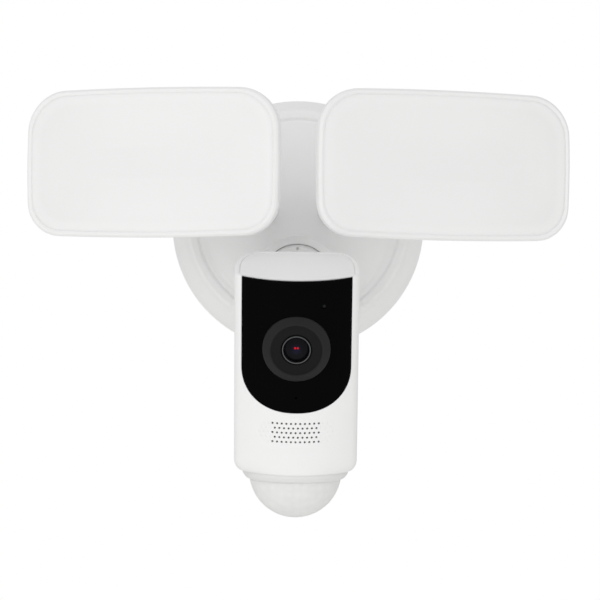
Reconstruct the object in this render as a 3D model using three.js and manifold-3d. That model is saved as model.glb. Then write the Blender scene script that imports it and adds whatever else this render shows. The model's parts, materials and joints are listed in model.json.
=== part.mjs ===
// Floodlight security camera for an outside wall: a round canopy with a trumpet-shaped hub, two lamp
// heads on ball joints and a camera on a larger ball joint below them.
//
// Millimetres. +X is right, +Y points into the wall and +Z is up. The origin is the middle of the
// wall bracket's rear face, so the wall is the plane Y = 0 and everything stands in front of it.

import * as THREE from 'three';
import { mergeVertices } from 'three/addons/utils/BufferGeometryUtils.js';
import Module from 'manifold-3d';

const wasm = await Module();
wasm.setup();

// ---------------------------------------------------------------------------------------------
// Driving dimensions
// ---------------------------------------------------------------------------------------------

const DEG = Math.PI / 180;
const GAP = 0.35; // clearance between neighbouring pieces

// Wall base
const CANOPY = { radius: 73.1, depth: 26.8, bead: 64.2, lip: 58, ledge: 50 };
const BRACKET = { halfWidth: 62, halfHeight: 13, thick: 2, tabDepth: 16, slot: 41.5 };
const SIDE_SCREW = { y: -12, seat: 67, headRadius: 4.1, shankRadius: 2 };
const HUB = { radius: 54.8, rimY: -26.2, ledgeY: -24, wall: 2.5, mouthWall: 4.65, mouth: 24 };
const TRAY = { radius: 47.5, y: -6, depth: 11 };

// Ball joints: ball, friction liner outside it, seat outside the liner
const LAMP_BALL = { ball: 12.5, bore: 12.9, liner: 14.4, seat: 14.8, cup: 18.8, open: 60, stem: 6.5 };
const CAMERA_BALL = { ball: 15, bore: 15.4, liner: 17.2, seat: 17.6, cup: 19, open: 72, stem: 6.2 };

// Lamp heads: where each ball stands, how the head is aimed and how its socket is aimed
const LAMP = {
  ball: { x: 45, y: -84.4, z: 20.2 },
  tilt: 6.4,
  pan: 20,
  socketTilt: -6.1,
  socketPan: 32.5,
  inboard: 22,
  face: -44,
  back: -19,
  halfWidth: 74.1,
  halfHeight: 40.8,
  topCorner: 21,
  bottomCorner: 17,
  bow: 1.6,
  rim: 3,
};
const ARM = { rootX: 20, rootY: -42, rootZ: 0, radius: 8.6, bore: 5 };

// Camera head
const CAMERA = {
  centre: { x: 0, y: -122, z: -92 },
  tilt: 23.5,
  socketTilt: 15,
  ballBack: 64.7,
  ballUp: 28.5,
  halfWidth: 33,
  front: 29,
  back: 29,
  frontRadius: 50,
  cornerRadius: 8.3,
  backHalfWidth: 21,
  backCorner: 30,
  top: 53.5,
  base: -61,
  baseTilt: 13,
  split: -3,
  wall: 2.6,
};
const PANEL = { halfWidth: 28.9, bottomCentre: 4.8, bottomDrop: 24, power: 2.32, thick: 1.1 };
const LENS = { z: 16.1, outer: 17.7, inner: 14.2, front: -31.2, bore: 8.05, barrel: 7.7 };
const GRILLE = { z: -30.4, pitchX: 2.45, pitchZ: 2.56, hole: 0.55, counts: [11, 10, 11, 10, 11] };
const STATUS_LIGHT = { x: 14.2, z: 39.1, radius: 1.2 };
const MICROPHONE = { z: -10.7, hole: 0.6 };
const PIR = { collar: 28.9, lip: 27.2, dome: 25, centre: 1.2, wall: 1.2, collarHeight: 4.3 };
const SERVICE = { z: -34, halfWidth: 15, halfHeight: 11.5, thick: 1.8 };
const RESET = { z: -9, radius: 2.6, flange: 4.2, proud: 1.0, travel: 0.8 };

// ---------------------------------------------------------------------------------------------
// Finishes
// ---------------------------------------------------------------------------------------------

function finish(color, roughness, metalness = 0) {
  return { color, roughness, metalness };
}

const WHITE_ABS = finish('#eeeeed', 0.42);
const OPAL = finish('#f1f0ee', 0.5);
const BLACK_PANEL = finish('#070708', 0.08);
const BLACK_ABS = finish('#222224', 0.35);
const SILVER = finish('#9a9a9c', 0.3, 0.9);
const LENS_GLASS = finish('#0c0c14', 0.03);
const PIR_LENS = finish('#e2e2e0', 0.45);
const RUBBER = finish('#2b2b2c', 0.8);
const WHITE_RUBBER = finish('#dcdcda', 0.7);
const ACETAL = finish('#d8d6cf', 0.5);
const STEEL = finish('#a9abad', 0.35, 0.9);
const ZINC = finish('#b4b6b4', 0.45, 0.8);
const GREEN_BOARD = finish('#1f5b39', 0.5);
const WHITE_BOARD = finish('#f4f4f0', 0.5);
const COPPER_TAPE = finish('#c9a227', 0.5);
const LIGHT_PIPE = finish('#d7dde0', 0.15);

// ---------------------------------------------------------------------------------------------
// Solids: three.js geometry to manifold and back
// ---------------------------------------------------------------------------------------------

function signedVolume(position, index) {
  const a = new THREE.Vector3();
  const b = new THREE.Vector3();
  const c = new THREE.Vector3();
  let sum = 0;
  for (let i = 0; i < index.length; i += 3) {
    a.fromArray(position, 3 * index[i]);
    b.fromArray(position, 3 * index[i + 1]);
    c.fromArray(position, 3 * index[i + 2]);
    sum += a.dot(b.cross(c));
  }
  return sum;
}

// A closed geometry as a solid with its faces pointing out.
function toSolid(geometry) {
  const bare = geometry.clone();
  bare.deleteAttribute('normal');
  bare.deleteAttribute('uv');
  const merged = mergeVertices(bare, 1e-3);
  const position = new Float32Array(merged.attributes.position.array);
  const index = [];
  for (let i = 0; i < merged.index.count; i += 3) {
    const [a, b, c] = [0, 1, 2].map((k) => merged.index.getX(i + k));
    if (a !== b && b !== c && c !== a) index.push(a, b, c);
  }
  if (signedVolume(position, index) < 0) index.reverse();
  const triVerts = new Uint32Array(index);
  return new wasm.Manifold(new wasm.Mesh({ numProp: 3, vertProperties: position, triVerts }));
}

function toGeometry(solid) {
  const mesh = solid.getMesh();
  const geometry = new THREE.BufferGeometry();
  geometry.setAttribute('position', new THREE.BufferAttribute(mesh.vertProperties, mesh.numProp));
  geometry.setIndex(new THREE.BufferAttribute(mesh.triVerts, 1));
  geometry.computeVertexNormals();
  return geometry;
}

function join(...solids) {
  return solids.reduce((whole, solid) => whole.add(solid));
}

function cut(solid, ...tools) {
  return tools.reduce((rest, tool) => rest.subtract(tool), solid);
}

function box(width, depth, height, x = 0, y = 0, z = 0) {
  return toSolid(new THREE.BoxGeometry(width, depth, height).translate(x, y, z));
}

// A round bar along Y from yA to yB.
function bar(radius, yA, yB, x = 0, z = 0, sides = 20) {
  const geometry = new THREE.CylinderGeometry(radius, radius, Math.abs(yB - yA), sides);
  return toSolid(geometry.translate(x, (yA + yB) / 2, z));
}

// A round bar along X from xA to xB.
function crossBar(radius, xA, xB, y, z, sides = 20) {
  const geometry = new THREE.CylinderGeometry(radius, radius, Math.abs(xB - xA), sides);
  return toSolid(geometry.rotateZ(90 * DEG).translate((xA + xB) / 2, y, z));
}

// A round bar between two points.
function barBetween(start, end, radius, sides = 20) {
  const along = new THREE.Vector3().subVectors(end, start);
  const turn = new THREE.Quaternion();
  turn.setFromUnitVectors(new THREE.Vector3(0, 1, 0), along.clone().normalize());
  const geometry = new THREE.CylinderGeometry(radius, radius, along.length(), sides);
  geometry.applyQuaternion(turn);
  geometry.translate((start.x + end.x) / 2, (start.y + end.y) / 2, (start.z + end.z) / 2);
  return toSolid(geometry);
}

function ball(radius, width = 16, height = 9) {
  return toSolid(new THREE.SphereGeometry(radius, width, height));
}

// A turned piece about the Y axis. The profile is a list of [radius, y], in order round the section.
function turned(profile, segments = 24) {
  const points = [...profile, profile[0]].map(([radius, y]) => new THREE.Vector2(radius, y));
  return toSolid(new THREE.LatheGeometry(points, segments));
}

// Points of an arc about a centre on the Y axis, for a turned profile. Angles are from +Y.
function arc(radius, centreY, from, to, steps) {
  const points = [];
  for (let i = 0; i <= steps; i += 1) {
    const angle = (from + ((to - from) * i) / steps) * DEG;
    points.push([radius * Math.sin(angle), centreY + radius * Math.cos(angle)]);
  }
  return points;
}

// A solid through rings of points, each with the same number of points, closed at both ends.
function loft(rings) {
  const count = rings[0].length;
  const position = [];
  const index = [];
  const middle = (ring) => ring.reduce((sum, p) => sum.add(p), new THREE.Vector3()).divideScalar(count);
  rings.flat().forEach((point) => position.push(point.x, point.y, point.z));
  for (let r = 0; r < rings.length - 1; r += 1) {
    for (let i = 0; i < count; i += 1) {
      const a = r * count + i;
      const b = r * count + ((i + 1) % count);
      index.push(a, b, a + count, b, b + count, a + count);
    }
  }
  const last = rings.length - 1;
  const firstMiddle = position.length / 3;
  position.push(...middle(rings[0]).toArray(), ...middle(rings[last]).toArray());
  for (let i = 0; i < count; i += 1) {
    const j = (i + 1) % count;
    index.push(firstMiddle, j, i);
    index.push(firstMiddle + 1, last * count + i, last * count + j);
  }
  const geometry = new THREE.BufferGeometry();
  geometry.setAttribute('position', new THREE.Float32BufferAttribute(position, 3));
  geometry.setIndex(index);
  return toSolid(geometry);
}

// A flat outline in X and Z, given a thickness along Y from yA to yB.
function plate(shape, yA, yB, curveSegments = 6) {
  const settings = { depth: Math.abs(yB - yA), bevelEnabled: false, curveSegments };
  const geometry = new THREE.ExtrudeGeometry(shape, settings);
  return toSolid(geometry.rotateX(90 * DEG).translate(0, Math.max(yA, yB), 0));
}

function roundedRectangle(halfWidth, halfHeight, radius, x = 0, z = 0) {
  const shape = new THREE.Shape();
  const w = halfWidth - radius;
  const h = halfHeight - radius;
  shape.absarc(x + w, z + h, radius, 0, 90 * DEG);
  shape.absarc(x - w, z + h, radius, 90 * DEG, 180 * DEG);
  shape.absarc(x - w, z - h, radius, 180 * DEG, 270 * DEG);
  shape.absarc(x + w, z - h, radius, 270 * DEG, 360 * DEG);
  return shape;
}

// ---------------------------------------------------------------------------------------------
// The scene graph
// ---------------------------------------------------------------------------------------------

const floodlight = new THREE.Group();

function place(group, name, solid, look) {
  const mesh = new THREE.Mesh(toGeometry(solid), new THREE.MeshStandardMaterial(look));
  mesh.name = name;
  group.add(mesh);
  return mesh;
}

function frameAt(parent, position, rotationX, rotationZ = 0) {
  const group = new THREE.Group();
  group.position.set(position.x, position.y, position.z);
  group.rotation.set(rotationX * DEG, 0, rotationZ * DEG);
  parent.add(group);
  return group;
}

// ---------------------------------------------------------------------------------------------
// Wall base
// ---------------------------------------------------------------------------------------------

// Steel cross strap that screws to the wall box, with a bent and tapped tab at each end.
function wallBracket() {
  const strapShape = roundedRectangle(BRACKET.halfWidth, BRACKET.halfHeight, 4);
  let strap = plate(strapShape, 0, -BRACKET.thick, 3);
  for (const side of [-1, 1]) {
    const tabX = side * (BRACKET.halfWidth - 1.25);
    const tab = box(2.5, BRACKET.tabDepth, 16, tabX, -BRACKET.tabDepth / 2, 0);
    const tapped = crossBar(SIDE_SCREW.shankRadius + GAP, tabX - 3, tabX + 3, SIDE_SCREW.y, 0, 12);
    const slot = plate(roundedRectangle(6, 2.6, 2.5, side * BRACKET.slot), 1, -4, 4);
    strap = cut(join(strap, tab), tapped, slot);
  }
  return strap;
}

// Foam ring squeezed between the canopy's rim and the wall.
function wallGasket() {
  const outer = CANOPY.radius - 0.8;
  return turned([[outer, 0], [outer, -2.75], [outer - 5, -2.75], [outer - 5, 0]], 32);
}

// Outer ring of the canopy: sloping skirt, rounded bead, groove and an inner ledge for the hub.
function canopyRing() {
  const { radius, depth, bead, lip, ledge } = CANOPY;
  const profile = [
    [radius, -3.1], [radius, -6], [radius - 2.2, -13.5], [bead + 1.9, -21.5], [bead - 0.3, -25],
    [bead - 2, -depth], [lip + 0.9, -depth], [lip, -25.8], [lip - 0.1, HUB.ledgeY],
    [ledge, HUB.ledgeY], [ledge, -21.6], [lip, -21.6], [bead - 1, -17.5], [radius - 4.4, -8],
    [radius - 2.8, -3.1],
  ];
  let ring = turned(profile, 32);
  for (const side of [-1, 1]) {
    const { y, seat, headRadius, shankRadius } = SIDE_SCREW;
    const boss = crossBar(headRadius + 2.2, side * (seat - 3.5), side * seat, y, 0);
    const counterbore = crossBar(headRadius + GAP, side * seat, side * (seat + 10), y, 0);
    const hole = crossBar(shankRadius + GAP, side * (seat - 6), side * (seat + 1), y, 0, 12);
    ring = cut(join(ring, boss), counterbore, hole);
  }
  return ring;
}

// Pan-head screw that holds the canopy to a bracket tab, with a cross slot in its head.
function canopyScrew(side) {
  const { y, seat, headRadius, shankRadius } = SIDE_SCREW;
  const headStart = seat + 0.3;
  const head = crossBar(headRadius, side * headStart, side * (headStart + 2.4), y, 0, 18);
  const shank = crossBar(shankRadius, side * (BRACKET.halfWidth - 4), side * (headStart + 0.5), y, 0, 12);
  const slotX = side * (headStart + 2.4);
  return cut(join(head, shank), box(2.4, 0.9, 5, slotX, y, 0), box(2.4, 5, 0.9, slotX, y, 0));
}

// One section of the hub. At 0 degrees it is the flat rim on the canopy, and at 90 degrees it is
// the mouth around the camera's ball joint. The crown and the keel each run as a quarter ellipse.
function hubSection(angle, inset, forward, count) {
  const { rimY, radius, mouth } = HUB;
  const tilt = CAMERA.socketTilt * DEG;
  const up = new THREE.Vector3(0, -Math.sin(tilt), Math.cos(tilt));
  const face = onSocketAxis(4.4);
  const crownEnd = face.clone().addScaledVector(up, mouth);
  const keelEnd = face.clone().addScaledVector(up, -mouth);
  const rise = 1 - Math.cos(angle * DEG);
  const run = Math.sin(angle * DEG);
  const crown = new THREE.Vector3(0, rimY + (crownEnd.y - rimY) * rise, radius + (crownEnd.z - radius) * run);
  const keel = new THREE.Vector3(0, rimY + (keelEnd.y - rimY) * rise, -radius + (keelEnd.z + radius) * run);
  const centre = crown.clone().add(keel).multiplyScalar(0.5);
  const upright = crown.clone().sub(centre);
  const size = upright.length();
  upright.divideScalar(size);
  centre.y += inset * Math.cos(angle * DEG);
  centre.add(onSocketAxis(forward)).sub(onSocketAxis(0));
  const ring = [];
  for (let i = 0; i < count; i += 1) {
    const turn = (2 * Math.PI * i) / count;
    const point = centre.clone().addScaledVector(upright, (size - inset) * Math.cos(turn));
    point.x += (size - inset) * Math.sin(turn);
    ring.push(point);
  }
  return ring;
}

// The ball centre of a head in the object's frame.
function ballCentre(head) {
  if (head === LAMP) return new THREE.Vector3(LAMP.ball.x, LAMP.ball.y, LAMP.ball.z);
  const fromCentre = new THREE.Vector3(0, CAMERA.ballBack, CAMERA.ballUp);
  fromCentre.applyAxisAngle(new THREE.Vector3(1, 0, 0), CAMERA.tilt * DEG);
  return fromCentre.add(new THREE.Vector3(CAMERA.centre.x, CAMERA.centre.y, CAMERA.centre.z));
}

// A circle about the Y axis, for the straight edge of the hub's rim.
function rimRing(radius, y, count) {
  const ring = [];
  for (let i = 0; i < count; i += 1) {
    const turn = (2 * Math.PI * i) / count;
    ring.push(new THREE.Vector3(radius * Math.sin(turn), y, radius * Math.cos(turn)));
  }
  return ring;
}

// Trumpet-shaped front cover that carries all three ball joints.
function hubShell() {
  const count = 24;
  const angles = [0, 15, 30, 48, 66, 80, 90];
  const skin = angles.map((angle) => hubSection(angle, 0, 0, count));
  const outer = loft([rimRing(HUB.radius, HUB.ledgeY - GAP, count), ...skin]);
  const thickness = (angle) => HUB.wall + ((HUB.mouthWall - HUB.wall) * angle) / 90;
  const lining = angles.map((angle) => hubSection(angle, thickness(angle), 0, count));
  const mouth = hubSection(90, HUB.mouthWall, 3, count);
  const inner = loft([rimRing(HUB.radius - HUB.wall, 0, count), ...lining, mouth]);
  const passages = [-1, 1].map((side) => barBetween(armRoot(side, 8), armRoot(side, -20), ARM.radius + GAP));
  const socketBore = barBetween(onSocketAxis(-9), onSocketAxis(12), HUB.mouth - HUB.mouthWall, 32);
  return cut(outer, inner, socketBore, ...passages);
}

// A point on the axis of the camera's socket, at a distance in front of the ball's centre.
function onSocketAxis(distance) {
  const tilt = CAMERA.socketTilt * DEG;
  const axis = new THREE.Vector3(0, -Math.cos(tilt), -Math.sin(tilt));
  return ballCentre(CAMERA).addScaledVector(axis, distance);
}

// A point on the arm's centre line, at a distance back from its root towards the inside of the hub.
function armRoot(side, back) {
  const root = new THREE.Vector3(ARM.rootX, ARM.rootY, ARM.rootZ);
  const along = ballCentre(LAMP).sub(root).normalize();
  root.addScaledVector(along, -back);
  root.x *= side;
  return root;
}

// Open tray that holds the power supply behind the hub.
function driverTray() {
  const { radius, y, depth } = TRAY;
  const front = y - depth;
  return turned([
    [0, y], [radius, y], [radius, front], [radius - 1.6, front], [radius - 1.6, y - 1.8], [0, y - 1.8],
  ], 32);
}

function driverBoard() {
  return cut(
    box(66, 1.6, 54, 0, TRAY.y - 4.6, 0),
    bar(1.7, -4, -16, -28, 22, 10), bar(1.7, -4, -16, 28, 22, 10),
    bar(1.7, -4, -16, -28, -22, 10), bar(1.7, -4, -16, 28, -22, 10),
  );
}

// Ferrite transformer: square core with its winding standing proud at both ends.
function transformer() {
  const core = box(22, 14, 18, -14, -18.8, 8);
  const winding = box(15, 11, 24, -14, -18.8, 8);
  return join(core, winding);
}

function bulkCapacitor() {
  return turned([[0, 0], [6.6, 0], [7, -0.6], [7, -17.4], [6.4, -18], [0, -18]], 20).translate([16, -11.8, 6]);
}

// Three-way terminal block with its wire entries.
function terminalBlock() {
  let block = box(27, 9, 10, 0, -16.3, -20);
  for (const x of [-9, 0, 9]) {
    block = cut(block, toSolid(new THREE.BoxGeometry(5, 5, 6).translate(x, -16.3, -24)));
  }
  return block;
}

// ---------------------------------------------------------------------------------------------
// Ball joints. Each is in a frame at the ball's centre, with its mouth towards -Y.
// ---------------------------------------------------------------------------------------------

// Friction liner: the spherical washer that the ball rubs on, open at the back for the leads.
function ballLiner({ bore, liner }, segments) {
  return turned([...arc(liner, 0, 56, 24, 3), ...arc(bore, 0, 24, 56, 3)], segments);
}

// Threaded ring that keeps the ball in, with two notches for a pin wrench.
function lockRing({ bore, cup, open }, segments) {
  const front = -bore * Math.cos(open * DEG);
  const ring = turned([
    [cup, -0.3], [cup, front + 1.4], [cup - 1.4, front], ...arc(bore, 0, 180 - open, 91.3, 2),
  ], segments);
  const notches = [-1, 1].map((side) => bar(0.8, front - 1, front + 1.2, 0, side * (cup - 2.2), 8));
  return cut(ring, ...notches);
}

// Seat of the camera's ball, set in the hub's mouth.
function cameraSocket() {
  const { seat, cup } = CAMERA_BALL;
  return turned([
    [cup, 0.3], [cup, 3], [17.8, 9], [13.5, 16.5], [6.6, 18.6], ...arc(seat, 0, 22, 89, 4),
  ], 24);
}

// Lamp arm: a hollow neck that leaves the hub's flank and ends in the ball's cup.
function lampArm(side, frame) {
  const { seat, cup } = LAMP_BALL;
  const shell = turned([[cup, 0.3], [cup, 6], [cup - 2.6, 12], [11, 17.6], [0, 18.6], [0, 0.3]], 20);
  frame.updateWorldMatrix(true, false);
  const root = frame.worldToLocal(armRoot(side, 4));
  const neckStart = frame.worldToLocal(armRoot(side, 0)).multiplyScalar(0.2);
  const neck = barBetween(root, neckStart, ARM.radius);
  const passage = barBetween(root.clone().multiplyScalar(1.2), new THREE.Vector3(), ARM.bore, 14);
  return cut(join(shell, neck), passage, ball(seat, 18, 10));
}

// Ball, neck and flange in one moulding. The flange is at the given distance in front of the ball.
function ballStem({ ball: radius, stem }, reach, flange, depth) {
  const neck = bar(stem, 0, -reach + depth / 2, 0, 0, 20);
  const foot = turned([
    [0, -reach], [flange, -reach], [flange, -reach + depth * 0.5], [flange - 1, -reach + depth],
    [0, -reach + depth],
  ], 24);
  return join(ball(radius), neck, foot);
}

// ---------------------------------------------------------------------------------------------
// Lamp heads. Each is in a frame at the ball's centre, facing -Y.
// ---------------------------------------------------------------------------------------------

// The head's outline at a given inset and depth: a rounded rectangle whose sides bow outwards.
function lampOutline(side, inset, y) {
  const { halfWidth, halfHeight, topCorner, bottomCorner, bow, inboard } = LAMP;
  const w = halfWidth - bow - inset;
  const h = halfHeight - bow - inset;
  const cornerSteps = 4;
  const corners = [];
  for (let quadrant = 0; quadrant < 4; quadrant += 1) {
    const signX = quadrant === 0 || quadrant === 3 ? 1 : -1;
    const signZ = quadrant < 2 ? 1 : -1;
    const radius = Math.max((signZ > 0 ? topCorner : bottomCorner) - inset * 0.6, 4);
    for (let i = 0; i <= cornerSteps; i += 1) {
      const angle = (quadrant + i / cornerSteps) * 90 * DEG;
      const x = signX * (w - radius) + radius * Math.cos(angle);
      corners.push(new THREE.Vector3(x, y, signZ * (h - radius) + radius * Math.sin(angle)));
    }
  }
  const ring = [];
  corners.forEach((point, i) => {
    ring.push(point);
    if (i % (cornerSteps + 1) !== cornerSteps) return;
    const next = corners[(i + 1) % corners.length];
    ring.push(point.clone().lerp(next, 0.5));
  });
  return ring.map(({ x, z }) => new THREE.Vector3(
    side * inboard + x + Math.sign(x) * bow * (1 - (z / h) ** 2),
    y,
    z + Math.sign(z) * bow * (1 - (x / w) ** 2),
  ));
}

function lampLoft(side, steps) {
  return loft(steps.map(([inset, y]) => lampOutline(side, inset, y)));
}

// Housing: beaded rim, short upright side, then a back that draws in all round.
function lampHousing(side) {
  const { face, back, rim } = LAMP;
  const outer = lampLoft(side, [
    [1.4, face + 0.1], [0, face + 1.5], [0, face + 5.5], [1.8, face + 10], [6.5, face + 16],
    [14, face + 21.5], [22, back],
  ]);
  const cavity = lampLoft(side, [
    [rim, face - 1], [rim, face + 3.4], [rim + 1.2, face + 3.4], [rim + 1.2, face + 9.5],
    [9.5, face + 16], [20, back - 2.6],
  ]);
  const leadHole = bar(3.2, back - 5, back + 2, 0, 0, 12);
  return cut(outer, cavity, leadHole);
}

// Seal between the diffuser and the shelf inside the rim.
function lampGasket(side) {
  const { face, rim } = LAMP;
  const outer = lampLoft(side, [[rim + 1.6, face + 3.1], [rim + 1.6, face + 4.6]]);
  const inner = lampLoft(side, [[rim + 3.6, face + 2], [rim + 3.6, face + 6]]);
  return cut(outer, inner);
}

// Opal diffuser: a shallow lid that fills the rim, slightly dished towards its middle.
function lampDiffuser(side) {
  const { face, rim } = LAMP;
  return lampLoft(side, [
    [rim + GAP, face + 2.75], [rim + GAP, face + 0.8], [rim + 0.9, face + 0.3], [rim + 4, face + 0.2],
    [rim + 14, face + 1],
  ]);
}

// White tray that reflects stray light forwards.
function lampReflector(side) {
  const { face, rim } = LAMP;
  const outer = lampLoft(side, [[rim + 2.4, face + 5], [rim + 8.6, face + 15.2]]);
  const inner = lampLoft(side, [[rim + 2.9, face + 3.9], [rim + 10.2, face + 16.3]]);
  return cut(outer, inner);
}

// LED board with its rows of chips.
function ledBoard(side) {
  const { face, inboard } = LAMP;
  let board = lampLoft(side, [[16, face + 15.6], [16, face + 17.2]]);
  for (let column = -2; column <= 2; column += 1) {
    for (const row of [-1, 1]) {
      board = join(board, box(3, 1, 3, side * inboard + column * 21, face + 15.3, row * 11));
    }
  }
  return board;
}

function addLamp(name, side) {
  const where = { x: side * LAMP.ball.x, y: LAMP.ball.y, z: LAMP.ball.z };
  const socket = frameAt(floodlight, where, LAMP.socketTilt, side * LAMP.socketPan);
  place(socket, `lamp_${name}_arm`, lampArm(side, socket), WHITE_ABS);
  place(socket, `lamp_${name}_lock_ring`, lockRing(LAMP_BALL, 18), WHITE_ABS);
  place(socket, `lamp_${name}_friction_liner`, ballLiner(LAMP_BALL, 16), ACETAL);
  const head = frameAt(floodlight, where, LAMP.tilt, side * LAMP.pan);
  const reach = -LAMP.back - GAP;
  place(head, `lamp_${name}_ball_stem`, ballStem(LAMP_BALL, reach, 13, 2.4), WHITE_ABS);
  place(head, `lamp_${name}_housing`, lampHousing(side), WHITE_ABS);
  place(head, `lamp_${name}_gasket`, lampGasket(side), RUBBER);
  place(head, `lamp_${name}_diffuser`, lampDiffuser(side), OPAL);
  place(head, `lamp_${name}_reflector`, lampReflector(side), WHITE_BOARD);
  place(head, `lamp_${name}_led_board`, ledBoard(side), WHITE_BOARD);
}

// ---------------------------------------------------------------------------------------------
// Camera head, in a frame at the middle of its case, facing -Y
// ---------------------------------------------------------------------------------------------

// Plan of the case at a given inset, as [x, y]: a shallow front arc, two tight front corners,
// straight flanks, two long elliptical rear corners and a flat back.
function casePlan(inset) {
  const { halfWidth, front, back, frontRadius, cornerRadius, backHalfWidth, backCorner } = CAMERA;
  const arcCentre = front - frontRadius;
  const cornerX = halfWidth - cornerRadius;
  const cornerForward = arcCentre + Math.sqrt((frontRadius - cornerRadius) ** 2 - cornerX ** 2);
  const sweep = Math.atan2(cornerX, cornerForward - arcCentre);
  const half = [];
  for (let i = 0; i < 4; i += 1) {
    const angle = (sweep * i) / 4;
    const radius = frontRadius - inset;
    half.push([radius * Math.sin(angle), arcCentre + radius * Math.cos(angle)]);
  }
  for (let i = 0; i <= 2; i += 1) {
    const angle = sweep + ((90 * DEG - sweep) * i) / 2;
    const radius = Math.max(cornerRadius - inset, 0.5);
    half.push([cornerX + radius * Math.sin(angle), cornerForward + radius * Math.cos(angle)]);
  }
  const rearX = halfWidth - backHalfWidth - inset;
  const rearForward = backCorner - back;
  for (let i = 0; i <= 4; i += 1) {
    const angle = 22.5 * i * DEG;
    half.push([
      backHalfWidth + rearX * Math.cos(angle),
      rearForward - (backCorner - inset) * Math.sin(angle),
    ]);
  }
  for (const share of [0.67, 0.33, 0]) half.push([backHalfWidth * share, -back + inset]);
  const mirrored = half.slice(1, -1).reverse().map(([x, forward]) => [-x, forward]);
  return [...half, ...mirrored].map(([x, forward]) => [x, -forward]);
}

// One level ring of the case at height z.
function caseRing(inset, z) {
  return casePlan(inset).map(([x, y]) => new THREE.Vector3(x, y, z));
}

// A ring in the slanted underside. Roll 0 is the full plan, roll 90 is the collar's circle.
function undersideRing(inset, roll, lift) {
  const slope = Math.tan(CAMERA.baseTilt * DEG);
  const blend = 1 - Math.cos(roll * DEG);
  const height = 7.5 * (1 - Math.sin(roll * DEG));
  return casePlan(inset).map(([x, y]) => {
    const reach = Math.hypot(x, y);
    const target = (PIR.collar - inset) / reach;
    const scale = 1 + (target - 1) * blend;
    return new THREE.Vector3(x * scale, y * scale, CAMERA.base + height + lift - y * scale * slope);
  });
}

// The whole case as a block, shrunk by an inset. The top is at the given height.
function caseBlock(inset, top, lift = 0) {
  const underside = [0, 30, 60, 90].map((roll) => undersideRing(inset, roll, lift));
  return loft([caseRing(inset, top), ...underside]);
}

function caseShell() {
  const { top, wall } = CAMERA;
  const rounded = loft([
    caseRing(1, top), caseRing(0.3, top - 0.3), caseRing(0, top - 1),
    ...[0, 30, 60, 90].map((roll) => undersideRing(0, roll, 0)),
  ]);
  return cut(rounded, caseBlock(wall, top + 5, wall));
}

// The hole in the underside that the motion sensor's dome comes through.
function domeOpening() {
  const geometry = new THREE.CylinderGeometry(PIR.dome + GAP, PIR.dome + GAP, 20, 32);
  geometry.rotateX(-(90 + CAMERA.baseTilt) * DEG);
  return toSolid(geometry.translate(0, 0, CAMERA.base));
}

// Outline of the black front panel seen from the front: straight sides and a full, rounded foot.
function panelShape(grow) {
  const { halfWidth, bottomCentre, bottomDrop, power } = PANEL;
  const top = CAMERA.top + 6;
  const points = [new THREE.Vector2(halfWidth + grow, top), new THREE.Vector2(-halfWidth - grow, top)];
  for (let i = 0; i <= 28; i += 1) {
    const angle = 180 * (1 + i / 28) * DEG;
    const [x, z] = [Math.cos(angle), Math.sin(angle)].map((v) => Math.sign(v) * Math.abs(v) ** (2 / power));
    points.push(new THREE.Vector2((halfWidth + grow) * x, bottomCentre + (bottomDrop + grow) * z));
  }
  return new THREE.Shape(points);
}

// A layer of the front wall, between two insets, inside the panel's outline.
function frontLayer(outside, inside, grow) {
  const layer = cut(caseBlock(outside, CAMERA.top + 4), caseBlock(inside, CAMERA.top + 8, inside));
  return layer.intersect(plate(panelShape(grow), -2, -40, 14));
}

function grilleHoles() {
  const { z, pitchX, pitchZ, hole, counts } = GRILLE;
  const holes = [];
  counts.forEach((count, row) => {
    for (let i = 0; i < count; i += 1) {
      const x = (i - (count - 1) / 2) * pitchX;
      holes.push(bar(hole, -20, -34, x, z + (2 - row) * pitchZ, 6));
    }
  });
  return wasm.Manifold.union(holes);
}

function frontShell() {
  const frontHalf = box(90, 60, 160, 0, CAMERA.split - GAP / 2 - 30, 0);
  const recess = frontLayer(-1, PANEL.thick + GAP, GAP);
  const lensHole = bar(LENS.outer + GAP, -8, -40, 0, LENS.z, 32);
  const lightHole = bar(STATUS_LIGHT.radius + GAP, -8, -40, STATUS_LIGHT.x, STATUS_LIGHT.z, 10);
  const soundHole = bar(MICROPHONE.hole + 0.5, -8, -40, 0, MICROPHONE.z, 10);
  return cut(
    caseShell().intersect(frontHalf), recess, domeOpening(), lensHole, lightHole, soundHole, grilleHoles(),
  );
}

function rearShell() {
  const rearHalf = box(90, 60, 160, 0, CAMERA.split + GAP / 2 + 30, 0);
  const { back, ballUp } = CAMERA;
  const leadHole = bar(3.5, back - 5, back + 2, 0, ballUp, 14);
  const cover = roundedRectangle(SERVICE.halfWidth + GAP, SERVICE.halfHeight + GAP, 3, 0, SERVICE.z);
  const coverSeat = plate(cover, back - SERVICE.thick - GAP, back + 2, 3);
  const cardWindow = box(18, 12, 8, 0, back, SERVICE.z);
  const resetHole = bar(RESET.radius + GAP, back - 5, back + 2, 0, RESET.z, 16);
  const screwHoles = [-1, 1].flatMap((side) => [
    bar(1.8, back - 5, back + 2, side * 11.5, SERVICE.z, 10),
    bar(1.8, back - 5, back + 2, side * 15, ballUp + 15, 10),
    bar(3.1, back - 1.1, back + 2, side * 15, ballUp + 15, 14),
  ]);
  return cut(
    caseShell().intersect(rearHalf), domeOpening(), leadHole, coverSeat, cardWindow, resetHole, ...screwHoles,
  );
}

// Flat lid inside the case's lip.
function topCap() {
  const { top, wall } = CAMERA;
  const inset = wall + GAP;
  const lid = loft([
    caseRing(inset, top - 3.2), caseRing(inset, top - 1.1), caseRing(inset + 0.5, top - 0.6),
  ]);
  return lid;
}

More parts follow.
